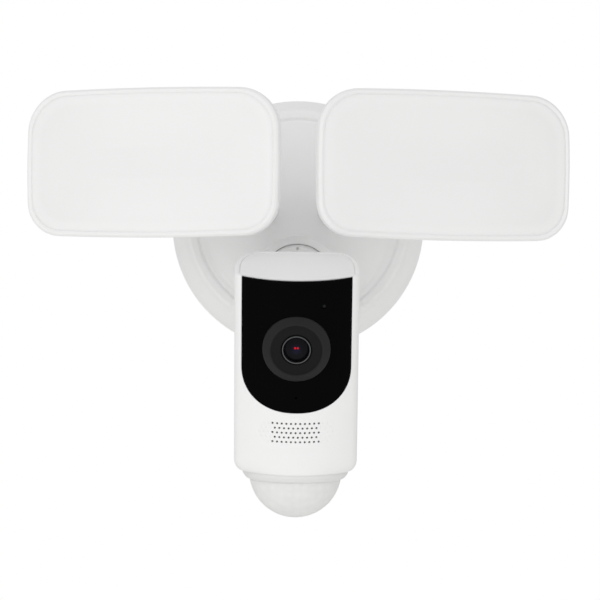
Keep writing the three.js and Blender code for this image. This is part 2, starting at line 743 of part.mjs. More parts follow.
function frontPanel() {
  const sheet = frontLayer(0, PANEL.thick, 0).intersect(box(90, 60, 130, 0, -30, CAMERA.top - 65.4));
  return cut(
    sheet,
    bar(LENS.outer + GAP, -8, -40, 0, LENS.z, 32),
    bar(STATUS_LIGHT.radius + GAP, -8, -40, STATUS_LIGHT.x, STATUS_LIGHT.z, 10),
    bar(MICROPHONE.hole, -8, -40, 0, MICROPHONE.z, 8),
  );
}

// Lens surround: chamfered ring that stands out of the panel, dished towards the lens.
function lensBezel() {
  const { outer, inner, front, bore, z } = LENS;
  const ring = turned([
    [outer, -23], [outer, front + 2.2], [outer - 0.5, front + 1.6], [inner + 0.4, front], [inner, front],
    [bore + 0.4, front + 1], [bore, front + 1.4], [bore, -23],
  ], 28);
  return ring.translate([0, 0, z]);
}

function lensBarrel() {
  const { front, barrel, z } = LENS;
  const tube = turned([
    [barrel, front + 2.6], [barrel, -22.6], [10, -22.6], [10, -6.6], [5.4, -6.6], [5.4, -27.2],
    [6.7, -27.2], [6.7, front + 2.6],
  ], 20);
  return tube.translate([0, 0, z]);
}

function lensTrimRing() {
  const { front, z } = LENS;
  const ring = turned([
    [7.6, front + 2.2], [7.6, front + 1.3], [7.3, front + 1], [6.8, front + 1], [6.6, front + 1.3],
    [6.6, front + 2.2],
  ], 20);
  return ring.translate([0, 0, z]);
}

// Front element: flat behind, domed in front.
function frontLens() {
  const domeRadius = 17;
  const apex = LENS.front + 1.5;
  const edge = Math.asin(6.2 / domeRadius) / DEG;
  const dome = arc(domeRadius, apex + domeRadius, 180, 180 - edge, 3);
  return turned([...dome, [6.2, -27.5], [0, -27.5]], 20).translate([0, 0, LENS.z]);
}

function innerLens() {
  return turned([[0, -17.5], [5, -18.3], [5, -16.2], [0, -15.4]], 20).translate([0, 0, LENS.z]);
}

function sensorBoard() {
  const board = box(28, 1.4, 28, 0, -5.4, LENS.z);
  const chip = box(7, 1.2, 6, 0, -6.1, LENS.z);
  return join(board, chip);
}

// Main board with its processor, memory and shield can.
function mainBoard() {
  const board = box(50, 1.6, 84, 0, 3, -2);
  const processor = box(14, 2, 14, 6, 1.9, 22);
  const shield = box(20, 3, 16, -10, 1.4, -8);
  const socketBlock = box(12, 3, 6, 12, 1.6, -34);
  return join(board, processor, shield, socketBlock);
}

function statusLightPipe() {
  const { x, z, radius } = STATUS_LIGHT;
  return bar(radius, -26.4, -12, x, z, 12);
}

// Rubber boot that seals the microphone to the sound hole.
function microphoneSeal() {
  return turned([[3, -25.6], [3, -20], [1, -20], [1, -25.6]], 16).translate([0, 0, MICROPHONE.z]);
}

// Loudspeaker: frame, magnet and a shallow cone behind the grille.
function speaker() {
  return turned([
    [0, -21], [11.4, -23.9], [13, -23.9], [13, -21.4], [8, -18], [8, -13.5], [0, -13.5],
  ], 24).translate([0, 0, GRILLE.z]);
}

// Seal in the joint between the two halves of the case.
function caseSeal() {
  const half = CAMERA.halfWidth - CAMERA.wall - 0.6;
  const outline = (inset) => roundedRectangle(half - inset, 46 - inset, 6 - inset * 0.5, 0, -1);
  return cut(plate(outline(0), -4.2, -1.8, 3), plate(outline(2), -6, 0, 3));
}

function serviceCover() {
  const { z, halfWidth, halfHeight, thick } = SERVICE;
  const door = plate(roundedRectangle(halfWidth, halfHeight, 2.8, 0, z), CAMERA.back - thick, CAMERA.back, 3);
  const pull = box(8, 0.8, 1.2, 0, CAMERA.back, z - halfHeight + 3);
  const holes = [-1, 1].map((side) => bar(1.8, 20, 32, side * 11.5, z, 10));
  const heads = [-1, 1].map((side) => bar(2.9, CAMERA.back - 0.9, 32, side * 11.5, z, 14));
  return cut(door, pull, ...holes, ...heads);
}

// Small cross-head screw from behind: its head's rear face is at headY.
function rearScrew(x, z, headY, headRadius, length) {
  const head = bar(headRadius, headY - 0.6, headY, x, z, 14);
  const shank = bar(1.3, headY - length, headY - 0.3, x, z, 10);
  const slot = box(0.6, 0.6, 3, x, headY, z);
  return cut(join(head, shank), slot, box(3, 0.6, 0.6, x, headY, z));
}

function cardSlot() {
  return cut(box(15, 5, 14, 0, 8, SERVICE.z), box(11.5, 8, 1.4, 0, 9.5, SERVICE.z));
}

// Push button with a retaining flange behind the case wall.
function resetButton() {
  const { back, wall } = CAMERA;
  const flangeY = back - wall - RESET.travel / 2;
  return turned([
    [0, back + RESET.proud], [RESET.radius - 0.5, back + RESET.proud],
    [RESET.radius, back + RESET.proud - 0.5], [RESET.radius, flangeY], [RESET.flange, flangeY],
    [RESET.flange, flangeY - 1.2], [1.2, flangeY - 1.2], [1.2, flangeY - 6], [0, flangeY - 6],
  ], 16).translate([0, 0, RESET.z]);
}

// The motion sensor's pieces are turned about the underside's normal, which points along +Y of
// their own frame.

function pirCollar() {
  const { collar, lip, dome, collarHeight } = PIR;
  return turned([
    [collar, GAP], [collar - 0.5, 1.8], [lip, collarHeight - 0.4], [lip - 0.6, collarHeight],
    [dome + GAP, collarHeight], [dome + GAP, GAP],
  ], 28);
}

// Ribbed dome lens with a flange inside the case.
function pirLens() {
  const { dome, centre, wall } = PIR;
  const flangeY = -CAMERA.wall - GAP;
  return turned([
    ...arc(dome, centre, 0, 90, 5), [dome, flangeY], [dome + 0.9, flangeY], [dome + 0.9, flangeY - 1.2],
    [dome - wall, flangeY - 1.2], ...arc(dome - wall, centre, 90, 0, 4),
  ], 20);
}

function pirSensor() {
  const base = toSolid(new THREE.CylinderGeometry(4.8, 4.8, 0.8, 18).translate(0, -7.2, 0));
  const can = toSolid(new THREE.CylinderGeometry(4.1, 4.1, 4.6, 18).translate(0, -4.6, 0));
  return join(base, can);
}

function pirBoard() {
  return toSolid(new THREE.CylinderGeometry(17, 17, 1.4, 24).translate(0, -8.7, 0));
}

function addCamera() {
  const ballAt = ballCentre(CAMERA);
  const socket = frameAt(floodlight, ballAt, CAMERA.socketTilt);
  place(socket, 'camera_socket', cameraSocket(), WHITE_ABS);
  place(socket, 'camera_lock_ring', lockRing(CAMERA_BALL, 24), WHITE_ABS);
  place(socket, 'camera_friction_liner', ballLiner(CAMERA_BALL, 16), ACETAL);

  const head = frameAt(floodlight, CAMERA.centre, CAMERA.tilt);
  const reach = CAMERA.ballBack - CAMERA.back - GAP;
  const stem = place(head, 'camera_ball_stem', ballStem(CAMERA_BALL, reach, 12, 3), WHITE_ABS);
  stem.position.set(0, CAMERA.ballBack, CAMERA.ballUp);
  place(head, 'camera_front_shell', frontShell(), WHITE_ABS);
  place(head, 'camera_rear_shell', rearShell(), WHITE_ABS);
  place(head, 'camera_top_cap', topCap(), WHITE_ABS);
  place(head, 'camera_case_seal', caseSeal(), RUBBER);
  place(head, 'front_panel', frontPanel(), BLACK_PANEL);
  place(head, 'lens_bezel', lensBezel(), BLACK_ABS);
  place(head, 'lens_barrel', lensBarrel(), BLACK_ABS);
  place(head, 'lens_trim_ring', lensTrimRing(), SILVER);
  place(head, 'front_lens', frontLens(), LENS_GLASS);
  place(head, 'inner_lens', innerLens(), LENS_GLASS);
  place(head, 'image_sensor_board', sensorBoard(), GREEN_BOARD);
  place(head, 'main_board', mainBoard(), GREEN_BOARD);
  place(head, 'status_light_pipe', statusLightPipe(), LIGHT_PIPE);
  place(head, 'microphone_seal', microphoneSeal(), RUBBER);
  place(head, 'speaker', speaker(), BLACK_ABS);
  place(head, 'service_cover', serviceCover(), WHITE_RUBBER);
  place(head, 'card_slot', cardSlot(), STEEL);
  place(head, 'reset_button', resetButton(), WHITE_RUBBER);
  for (const [name, side] of [['left', -1], ['right', 1]]) {
    const coverScrew = rearScrew(side * 11.5, SERVICE.z, CAMERA.back + 0.05, 2.5, 6);
    place(head, `service_screw_${name}`, coverScrew, STEEL);
    const caseScrew = rearScrew(side * 15, CAMERA.ballUp + 15, CAMERA.back - 0.1, 2.7, 14);
    place(head, `case_screw_${name}`, caseScrew, STEEL);
  }

  const underside = frameAt(head, { x: 0, y: 0, z: CAMERA.base }, -(90 + CAMERA.baseTilt));
  place(underside, 'motion_sensor_collar', pirCollar(), WHITE_ABS);
  place(underside, 'motion_sensor_lens', pirLens(), PIR_LENS);
  place(underside, 'motion_sensor_element', pirSensor(), STEEL);
  place(underside, 'motion_sensor_board', pirBoard(), GREEN_BOARD);
}

function addWallBase() {
  place(floodlight, 'wall_bracket', wallBracket(), ZINC);
  place(floodlight, 'wall_gasket', wallGasket(), RUBBER);
  place(floodlight, 'canopy_ring', canopyRing(), WHITE_ABS);
  place(floodlight, 'canopy_screw_left', canopyScrew(-1), STEEL);
  place(floodlight, 'canopy_screw_right', canopyScrew(1), STEEL);
  place(floodlight, 'hub_shell', hubShell(), WHITE_ABS);
  place(floodlight, 'driver_tray', driverTray(), BLACK_ABS);
  place(floodlight, 'driver_board', driverBoard(), GREEN_BOARD);
  place(floodlight, 'transformer', transformer(), COPPER_TAPE);
  place(floodlight, 'bulk_capacitor', bulkCapacitor(), BLACK_ABS);
  place(floodlight, 'terminal_block', terminalBlock(), GREEN_BOARD);
}

addWallBase();
addLamp('left', -1);
addLamp('right', 1);
addCamera();

export default floodlight;
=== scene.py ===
"""Studio scene of a wall-mounted floodlight security camera.

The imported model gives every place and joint. This script dresses it: fine moulded shells, lenses,
perforations and screws, each riding on the body that it belongs to. Sizes are in millimetres in
each assembly's own station and become metres as a mesh is finished.
"""

import json
import logging
import math
from dataclasses import dataclass, field
from enum import Enum
from typing import NamedTuple, Sequence

import bmesh
import bpy
from mathutils import Matrix, Vector


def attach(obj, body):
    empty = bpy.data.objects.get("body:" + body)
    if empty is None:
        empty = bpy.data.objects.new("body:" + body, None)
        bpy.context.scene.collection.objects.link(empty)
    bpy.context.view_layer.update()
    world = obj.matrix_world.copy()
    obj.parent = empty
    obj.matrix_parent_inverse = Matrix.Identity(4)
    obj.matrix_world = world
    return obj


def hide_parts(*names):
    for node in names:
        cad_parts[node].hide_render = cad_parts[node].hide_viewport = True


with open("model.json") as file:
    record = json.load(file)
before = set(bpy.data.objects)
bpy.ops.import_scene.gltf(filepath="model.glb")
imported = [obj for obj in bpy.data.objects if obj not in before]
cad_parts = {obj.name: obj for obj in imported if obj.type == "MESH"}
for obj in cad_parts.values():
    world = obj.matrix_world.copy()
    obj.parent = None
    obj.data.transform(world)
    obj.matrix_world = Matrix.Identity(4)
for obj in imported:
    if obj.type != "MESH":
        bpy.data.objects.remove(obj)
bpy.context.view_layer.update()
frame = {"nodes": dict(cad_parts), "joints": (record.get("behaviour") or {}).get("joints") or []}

MM = 0.001
log = logging.getLogger("floodlight")

Node = bpy.types.Node
Socket = bpy.types.NodeSocket
Tree = bpy.types.NodeTree
Ring = list[Vector]
Profile = Sequence[Sequence[float]]


# ------------------------------------------------------------------------------------------------
# Nodes and colours
# ------------------------------------------------------------------------------------------------

def linear(colour: str) -> tuple[float, float, float, float]:
    """Turns an sRGB hex colour to linear RGBA.

    Args:
        colour: six hex digits with a leading hash.

    Returns:
        Linear red, green, blue and full alpha.
    """
    values = [int(colour[i:i + 2], 16) / 255 for i in (1, 3, 5)]
    toned = [v / 12.92 if v <= 0.04045 else ((v + 0.055) / 1.055) ** 2.4 for v in values]
    return (*toned, 1.0)


def add_node(tree: Tree, kind: str, settings: dict | None = None,
             inputs: dict | None = None) -> Node:
    """Adds one node with its settings, values and links.

    Args:
        tree: the node tree to add to.
        kind: the node's type name.
        settings: attributes of the node to set.
        inputs: socket name or index to a value, or to the output socket to link from.

    Returns:
        The new node.
    """
    node = tree.nodes.new(kind)
    for attribute, value in (settings or {}).items():
        setattr(node, attribute, value)
    for key, value in (inputs or {}).items():
        if isinstance(value, Socket):
            tree.links.new(value, node.inputs[key])
        else:
            node.inputs[key].default_value = value
    return node


# ------------------------------------------------------------------------------------------------
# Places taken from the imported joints
# ------------------------------------------------------------------------------------------------

def joint(name: str) -> dict:
    """Returns a packed joint by its name."""
    return next(each for each in frame["joints"] if each["name"] == name)


def joint_place(name: str) -> Vector:
    """Returns where a joint is, in millimetres."""
    return Vector(joint(name)["pos_m"]) / MM


def joint_lean(name: str) -> float:
    """Returns how far a joint's axis leans forward of upright or back of level, in degrees."""
    axis = Vector(joint(name)["axis"])
    return math.degrees(math.atan2(-axis.y, axis.z))


# The camera's case leans back by CASE_TILT. Its middle stands BALL_TO_CASE from the joint's ball,
# and the lens is LENS_RISE above that middle.
CASE_TILT = joint_lean("reset_button_press") - 90
CAMERA_BALL = joint_place("camera_tilt")
BALL_TO_CASE = Vector((0, -64.7, -28.5))
LENS_RISE = 16.1
SOCKET_TILT = 15.0
CASE_MIDDLE = CAMERA_BALL + Matrix.Rotation(math.radians(CASE_TILT), 3, "X") @ BALL_TO_CASE
LENS_MIDDLE = CASE_MIDDLE + Matrix.Rotation(math.radians(CASE_TILT), 3, "X") @ Vector((0, 0, LENS_RISE))


# ------------------------------------------------------------------------------------------------
# Finishes
# ------------------------------------------------------------------------------------------------

class Pattern(NamedTuple):
    """What a finish draws over its surface. Each part runs from 0 to 1, or is left out."""

    tone: Socket | None = None
    gloss: Socket | None = None
    height: Socket | None = None


def per_metre(size: float) -> float:
    """Scale of a pattern whose cells measure a size in millimetres."""
    return 1 / (size * MM)


@dataclass(frozen=True)
class Finish:
    """A moulded plastic, and the base of the other finishes.

    The grain is the texture left by the mould's surface, and the mottle is the slow drift in tone
    of a thick moulding. The depth is how much darker the tone's low end is. Grain, mottle, relief
    and the depth that light scatters to are in millimetres.
    """

    name: str
    slot: str
    colour: str
    roughness: float
    metallic: float = 0.0
    ior: float = 1.5
    specular: float = 0.5
    scatter: float = 0.0
    scatter_depth: float = 1.0
    grain: float = 0.5
    mottle: float = 28.0
    depth: float = 0.015
    bump: float = 0.05
    relief: float = 0.05
    gloss_from: tuple[float, float] = (0.0, 1.0)
    gloss_shift: tuple[float, float] = (-0.05, 0.05)

    def pattern(self, tree: Tree, place: Socket) -> Pattern:
        """Draws the mould's grain and a slow mottle.

        Args:
            tree: the material's tree.
            place: Object coordinates.

        Returns:
            The pattern.
        """
        grain = add_node(tree, "ShaderNodeTexNoise", inputs={
            "Vector": place, "Scale": per_metre(self.grain), "Detail": 3.0})
        mottle = add_node(tree, "ShaderNodeTexNoise", inputs={
            "Vector": place, "Scale": per_metre(self.mottle), "Detail": 2.0})
        return Pattern(mottle.outputs["Fac"], grain.outputs["Fac"], grain.outputs["Fac"])

    def paint(self, tree: Tree, place: Socket,
              tone: Socket) -> Socket:
        """Colours the surface: in full where the tone is 1, and darker where it is 0.

        Args:
            tree: the material's tree.
            place: Object coordinates.
            tone: the pattern's tone.

        Returns:
            The colour.
        """
        low = [part * (1 - self.depth) for part in linear(self.colour)[:3]]
        mix = add_node(tree, "ShaderNodeMix", {"data_type": "RGBA"},
                       {"Factor": tone, 6: (*low, 1), 7: linear(self.colour)})
        return mix.outputs[2]

    def material(self) -> bpy.types.Material:
        """Builds the material once and returns it from then on."""
        known = bpy.data.materials.get(self.name)
        if known:
            return known
        made = bpy.data.materials.new(self.name)
        made.use_nodes = True
        made.diffuse_color = linear(self.colour)
        tree = made.node_tree
        tree.nodes.clear()
        place = add_node(tree, "ShaderNodeTexCoord").outputs["Object"]
        pattern = self.pattern(tree, place)
        inputs = {
            "Base Color": linear(self.colour), "Roughness": self.roughness, "Metallic": self.metallic,
            "IOR": self.ior, "Specular IOR Level": self.specular, "Subsurface Weight": self.scatter,
            "Subsurface Radius": (1, 1, 1), "Subsurface Scale": self.scatter_depth * MM,
        }
        if pattern.tone is not None:
            inputs["Base Color"] = self.paint(tree, place, pattern.tone)
        if pattern.gloss is not None:
            gloss = add_node(tree, "ShaderNodeMapRange", inputs={
                "Value": pattern.gloss,
                "From Min": self.gloss_from[0], "To Min": self.roughness + self.gloss_shift[0],
                "From Max": self.gloss_from[1], "To Max": self.roughness + self.gloss_shift[1]})
            inputs["Roughness"] = gloss.outputs["Result"]
        if pattern.height is not None:
            bump = add_node(tree, "ShaderNodeBump", inputs={
                "Height": pattern.height, "Strength": self.bump, "Distance": self.relief * MM})
            inputs["Normal"] = bump.outputs["Normal"]
        shader = add_node(tree, "ShaderNodeBsdfPrincipled", inputs=inputs)
        add_node(tree, "ShaderNodeOutputMaterial", inputs={"Surface": shader.outputs["BSDF"]})
        return made


@dataclass(frozen=True)
class OpalPolycarbonate(Finish):
    """Milky diffuser: light spreads inside it. Its tone is painted shade, darker towards its ends."""

    scatter: float = 0.2
    scatter_depth: float = 2.5
    # The painted shade is at most this much darker.
    depth: float = 0.1

    def pattern(self, tree: Tree, place: Socket) -> Pattern:
        """Takes the painted shade from the tone painted on the mesh, and draws the mould's grain."""
        painted_shade_tone = add_node(tree, "ShaderNodeAttribute", {"attribute_name": "painted_shade_tone"})
        grain = add_node(tree, "ShaderNodeTexNoise", inputs={
            "Vector": place, "Scale": per_metre(self.grain), "Detail": 3.0})
        return Pattern(tone=painted_shade_tone.outputs["Fac"], height=grain.outputs["Fac"])


@dataclass(frozen=True)
class PolishedAcrylic(Finish):
    """Glossy tinted sheet with the faintest haze from handling, and slow waves in its face."""

    haze: float = 9.0
    wave: float = 30.0
    gloss_from: tuple[float, float] = (0.35, 0.75)
    gloss_shift: tuple[float, float] = (0.0, 0.05)

    def pattern(self, tree: Tree, place: Socket) -> Pattern:
        """Draws the haze and the waves.

        Args:
            tree: the material's tree.
            place: Object coordinates.

        Returns:
            The pattern.
        """
        haze = add_node(tree, "ShaderNodeTexNoise", inputs={
            "Vector": place, "Scale": per_metre(self.haze), "Detail": 4.0})
        wave = add_node(tree, "ShaderNodeTexNoise", inputs={
            "Vector": place, "Scale": per_metre(self.wave), "Detail": 1.0})
        return Pattern(gloss=haze.outputs["Fac"], height=wave.outputs["Fac"])


@dataclass(frozen=True)
class LensFinish(Finish):
    """Base of the finishes that are laid out in rings about the lens axis."""

    def around_lens(self, tree: Tree,
                    place: Socket) -> Socket:
        """Measures places from the middle of the lens, with Y along its axis."""
        return add_node(tree, "ShaderNodeMapping", {"vector_type": "TEXTURE"}, {
            "Vector": place, "Location": LENS_MIDDLE * MM,
            "Rotation": (math.radians(CASE_TILT), 0, 0)}).outputs["Vector"]

    def inside(self, tree: Tree, place: Socket, radius: float, soft: float,
               beside: tuple[float, float] = (0.0, 0.0)) -> Socket:
        """Masks a circle: 1 inside it, falling to 0 outside.

        Args:
            tree: the material's tree.
            place: Object coordinates.
            radius: the circle's radius in millimetres.
            soft: width of the fall in millimetres.
            beside: the circle's middle from the lens axis, along X and Z.

        Returns:
            The mask.
        """
        flat = add_node(tree, "ShaderNodeVectorMath", {"operation": "MULTIPLY"},
                        {0: self.around_lens(tree, place), 1: (1, 0, 1)})
        away = add_node(tree, "ShaderNodeVectorMath", {"operation": "DISTANCE"},
                        {0: flat.outputs["Vector"], 1: (beside[0] * MM, 0, beside[1] * MM)})
        mask = add_node(tree, "ShaderNodeMapRange", inputs={
            "Value": away.outputs["Value"], "From Min": (radius - soft / 2) * MM,
            "From Max": (radius + soft / 2) * MM, "To Min": 1.0, "To Max": 0.0})
        return mask.outputs["Result"]


@dataclass(frozen=True)
class TurnedFinish(LensFinish):
    """A lathe-turned surface: fine rings about the lens axis, and inside them a dish painted darker as painted
    shade.
    """

    depth: float = 0.0
    relief: float = 0.02
    pitch: float = 0.7
    # Inside this radius the tone is painted shade.
    dish: float = 13.6

    def pattern(self, tree: Tree, place: Socket) -> Pattern:
        """Draws the rings and leaves the dish at the tone's low end, as painted shade.

        Args:
            tree: the material's tree.
            place: Object coordinates.

        Returns:
            The pattern.
        """
        rings = add_node(tree, "ShaderNodeTexWave", {"wave_type": "RINGS", "rings_direction": "Y"}, {
            "Vector": self.around_lens(tree, place), "Scale": math.pi / (10 * self.pitch * MM)})
        outside = add_node(tree, "ShaderNodeMath", {"operation": "SUBTRACT"},
                           {0: 1.0, 1: self.inside(tree, place, self.dish, 0.5)})
        return Pattern(tone=outside.outputs["Value"], height=rings.outputs["Fac"])


@dataclass(frozen=True)
class CoatedGlass(LensFinish):
    """Dark coated lens: the coating's blue-violet reflection is painted towards its middle, and two red glints
    are painted deep inside.
    """

    violet: str = "#14162a"
    red: str = "#e0141c"
    glint_radius: float = 0.5
    point: tuple[float, float] = (0.72, 0.9)

    def pattern(self, tree: Tree, place: Socket) -> Pattern:
        """Marks the middle, where the coating's violet reflection is painted."""
        return Pattern(tone=self.inside(tree, place, 2.0, 2.6))

    def paint(self, tree: Tree, place: Socket, tone: Socket) -> Socket:
        """Colours the glass, paints the violet reflection in its middle, and paints the two red glints.

        Args:
            tree: the material's tree.
            place: Object coordinates.
            tone: the pattern's tone.

        Returns:
            The colour.
        """
        mix = add_node(tree, "ShaderNodeMix", {"data_type": "RGBA"},
                       {"Factor": tone, 6: linear(self.colour), 7: linear(self.violet)})
        # The two red points are painted glints.
        for side in (-1, 1):
            spot = self.inside(tree, place, self.glint_radius, 0.5, (side * self.point[0], self.point[1]))
            mix = add_node(tree, "ShaderNodeMix", {"data_type": "RGBA"},
                           {"Factor": spot, 6: mix.outputs[2], 7: linear(self.red)})
        return mix.outputs[2]


@dataclass(frozen=True)
class FacetedPolyethylene(Finish):
    """Cloudy sensor lens: the small lenses moulded inside it show through as soft cells."""

    scatter: float = 0.25
    scatter_depth: float = 1.2
    relief: float = 0.25
    cell: float = 4.2
    cloud: float = 5.0

    def pattern(self, tree: Tree, place: Socket) -> Pattern:
        """Draws the cells as a soft change of tone and a shallow relief, with a cloudy drift.

        Args:
            tree: the material's tree.
            place: Object coordinates.

        Returns:
            The pattern.
        """
        cells = add_node(tree, "ShaderNodeTexVoronoi", {"feature": "SMOOTH_F1"}, {
            "Vector": place, "Scale": per_metre(self.cell), "Smoothness": 0.6, "Randomness": 0.35})
        cloud = add_node(tree, "ShaderNodeTexNoise", inputs={
            "Vector": place, "Scale": per_metre(self.cloud), "Detail": 3.0})
        both = add_node(tree, "ShaderNodeMath", {"operation": "MULTIPLY_ADD"},
                        {0: cells.outputs["Distance"], 1: -0.9, 2: cloud.outputs["Fac"]})
        tone = add_node(tree, "ShaderNodeMapRange",
                        inputs={"Value": both.outputs["Value"], "From Min": -0.3, "From Max": 0.5})
        return Pattern(tone=tone.outputs["Result"], height=cells.outputs["Distance"])


@dataclass(frozen=True)
class PressedMetal(Finish):
    """Rolled and plated sheet or a small turned part: drawn-out brush marks or a fine spangle."""

    stretch: float = 12.0
    depth: float = 0.2
    relief: float = 0.03
    gloss_shift: tuple[float, float] = (-0.08, 0.1)

    def pattern(self, tree: Tree, place: Socket) -> Pattern:
        """Draws marks stretched along X.

        Args:
            tree: the material's tree.
            place: Object coordinates.

        Returns:
            The pattern.
        """
        drawn = add_node(tree, "ShaderNodeMapping",
                         inputs={"Vector": place, "Scale": (1 / self.stretch, 1, 1)})
        marks = add_node(tree, "ShaderNodeTexNoise", inputs={
            "Vector": drawn.outputs["Vector"], "Scale": per_metre(self.grain), "Detail": 4.0})
        return Pattern(marks.outputs["Fac"], marks.outputs["Fac"], marks.outputs["Fac"])


@dataclass(frozen=True)
class CircuitBoard(Finish):
    """Solder mask over copper: tracks show through as slightly lighter lines."""

    track: float = 1.6
    depth: float = 0.35
    relief: float = 0.04

    def pattern(self, tree: Tree, place: Socket) -> Pattern:
        """Draws tracks and pads.

        Args:
            tree: the material's tree.
            place: Object coordinates.

        Returns:
            The pattern.
        """
        tracks = add_node(tree, "ShaderNodeTexVoronoi", {"distance": "MANHATTAN"}, {
            "Vector": place, "Scale": per_metre(2.5 * self.track), "Randomness": 0.8})
        edges = add_node(tree, "ShaderNodeMapRange", inputs={
            "Value": tracks.outputs["Distance"], "From Min": 0.3, "From Max": 0.45})
        return Pattern(tone=edges.outputs["Result"], height=edges.outputs["Result"])


class Finishes(Enum):
    """Every finish on the object."""

    # Moulded ABS with a fine spark-eroded texture: soft, even white with broad highlights.
    WHITE_ABS = Finish("moulded white ABS", "white_abs", "#f0f0f0", 0.46, grain=0.45, bump=0.12,
                       relief=0.045)
    # The same ABS on the sensor's collar, painted a little greyer than the case as painted shade.
    COLLAR_ABS_PAINTED_SHADE = Finish("moulded white ABS in painted shade", "white_abs", "#e3e3e3", 0.48, grain=0.45,
                        bump=0.12, relief=0.045)
    # Opal polycarbonate: milky, a touch brighter than the housing round it.
    OPAL = OpalPolycarbonate("opal polycarbonate", "opal_diffuser", "#f3f3f3", 0.5, ior=1.58, bump=0.04)
    # Black-tinted acrylic: deep black with a clean gloss.
    ACRYLIC = PolishedAcrylic("black-tinted acrylic", "black_panel", "#030304", 0.07, ior=1.49, bump=0.02,
                              specular=0.035)
    # Satin black ABS of the lens surround.
    BLACK_ABS = Finish("moulded black ABS", "black_abs", "#141415", 0.42, grain=0.4, bump=0.1, relief=0.04,
                       specular=0.1)
    # The same ABS on the lens surround, with the mould's turning marks as fine rings. It is painted lighter
    # than the black ABS as painted light on its outer ring, and its inner dish is painted darker as painted
    # shade.
    TURNED_ABS_LIT_AND_SHADED = TurnedFinish("turned black ABS, painted light and shade", "black_abs", "#242425", 0.42, bump=0.3, specular=0.12,
                              depth=0.62)
    # Clear-anodised aluminium ring: satin silver with turning marks.
    ALUMINIUM = TurnedFinish("anodised aluminium", "silver_trim", "#6a6b6d", 0.32, metallic=1.0, bump=0.1,
                             pitch=0.25)
    # Coated optical glass over the dark barrel, with a painted violet reflection and two painted red glints.
    LENS = CoatedGlass("coated optical glass", "lens_glass", "#0e0e12", 0.06, ior=1.6, specular=0.06)
    # Cast silicone and foam rubber: matt, slightly uneven.
    EPDM = Finish("EPDM foam rubber", "rubber", "#1e1e1f", 0.85, grain=0.8, depth=0.2, bump=0.35, relief=0.08)
    SILICONE = Finish("white silicone rubber", "white_rubber", "#e3e3e1", 0.62, grain=0.6, bump=0.1,
                      relief=0.06)
    # Natural acetal: waxy off-white.
    ACETAL = Finish("natural acetal", "acetal", "#dcd9cf", 0.38, ior=1.48, bump=0.05)
    # Stainless screws and pressings: bright with drawn marks.
    STEEL = PressedMetal("stainless steel", "steel", "#a9abad", 0.3, metallic=1.0, grain=0.3, bump=0.2)
    # Zinc-plated strap: duller, with a coarser spangle.
    ZINC = PressedMetal("zinc-plated steel", "zinc_plate", "#a3a6a5", 0.42, metallic=1.0, grain=0.9,
                        bump=0.2, stretch=3.0)
    # Solder-masked boards.
    GREEN_BOARD = CircuitBoard("green solder-masked board", "circuit_board", "#1c5a37", 0.4, bump=0.4)
    LED_BOARD = CircuitBoard("white solder-masked board", "led_board", "#ecece6", 0.4, bump=0.3)
    # White reflector polycarbonate: bright and nearly matt.
    REFLECTOR = Finish("white reflector polycarbonate", "reflector", "#f6f6f4", 0.55, bump=0.05)
    # Polyester tape round the ferrite core.
    TAPE = Finish("yellow polyester tape", "transformer_tape", "#c8a02c", 0.35, grain=1.5, bump=0.15,
                  relief=0.15)
    SLEEVE = Finish("dark PVC sleeve", "capacitor_sleeve", "#14141c", 0.32, bump=0.06)
    POLYAMIDE = Finish("green polyamide", "terminal_green", "#1f6b33", 0.45, bump=0.1)
    # Clear acrylic light pipe, unlit: a faint dark grey point.
    LIGHT_PIPE = PolishedAcrylic("clear acrylic light pipe", "light_pipe", "#1b1c1e", 0.3, bump=0.01,
                                specular=0.1)
    # Cloudy polyethylene of the sensor dome.
    DOME = FacetedPolyethylene("natural polyethylene", "dome_lens", "#e9e9e8", 0.42, ior=1.51, bump=0.18,
                               depth=0.06)


# ------------------------------------------------------------------------------------------------
# Stations and blanks
# ------------------------------------------------------------------------------------------------

@dataclass(frozen=True)
class Station:
    """A sub-assembly's own frame. Its matrix turns local millimetres to the object's."""

    matrix: Matrix

    @classmethod
    def at(cls, place: Vector, tilt: float, pan: float = 0.0) -> "Station":
        """Makes a station.

        Args:
            place: its origin in the object's millimetres.
            tilt: its turn about X in degrees.
            pan: its turn about its own Z in degrees.

        Returns:
            The station.
        """
        tilted = Matrix.Rotation(math.radians(tilt), 4, "X")
        panned = Matrix.Rotation(math.radians(pan), 4, "Z")
        return cls(Matrix.Translation(place) @ tilted @ panned)

    def child(self, place: Vector, tilt: float) -> "Station":
        """Makes a station inside this one."""
        return Station(self.matrix @ Station.at(place, tilt).matrix)

    def local(self, point: Vector) -> Vector:
        """Turns a point in the object's millimetres to this station's."""
        return self.matrix.inverted() @ point


class Boolean(Enum):
    """How one blank is combined with others."""

    CUT = "DIFFERENCE"
    JOIN = "UNION"
    KEEP = "INTERSECT"


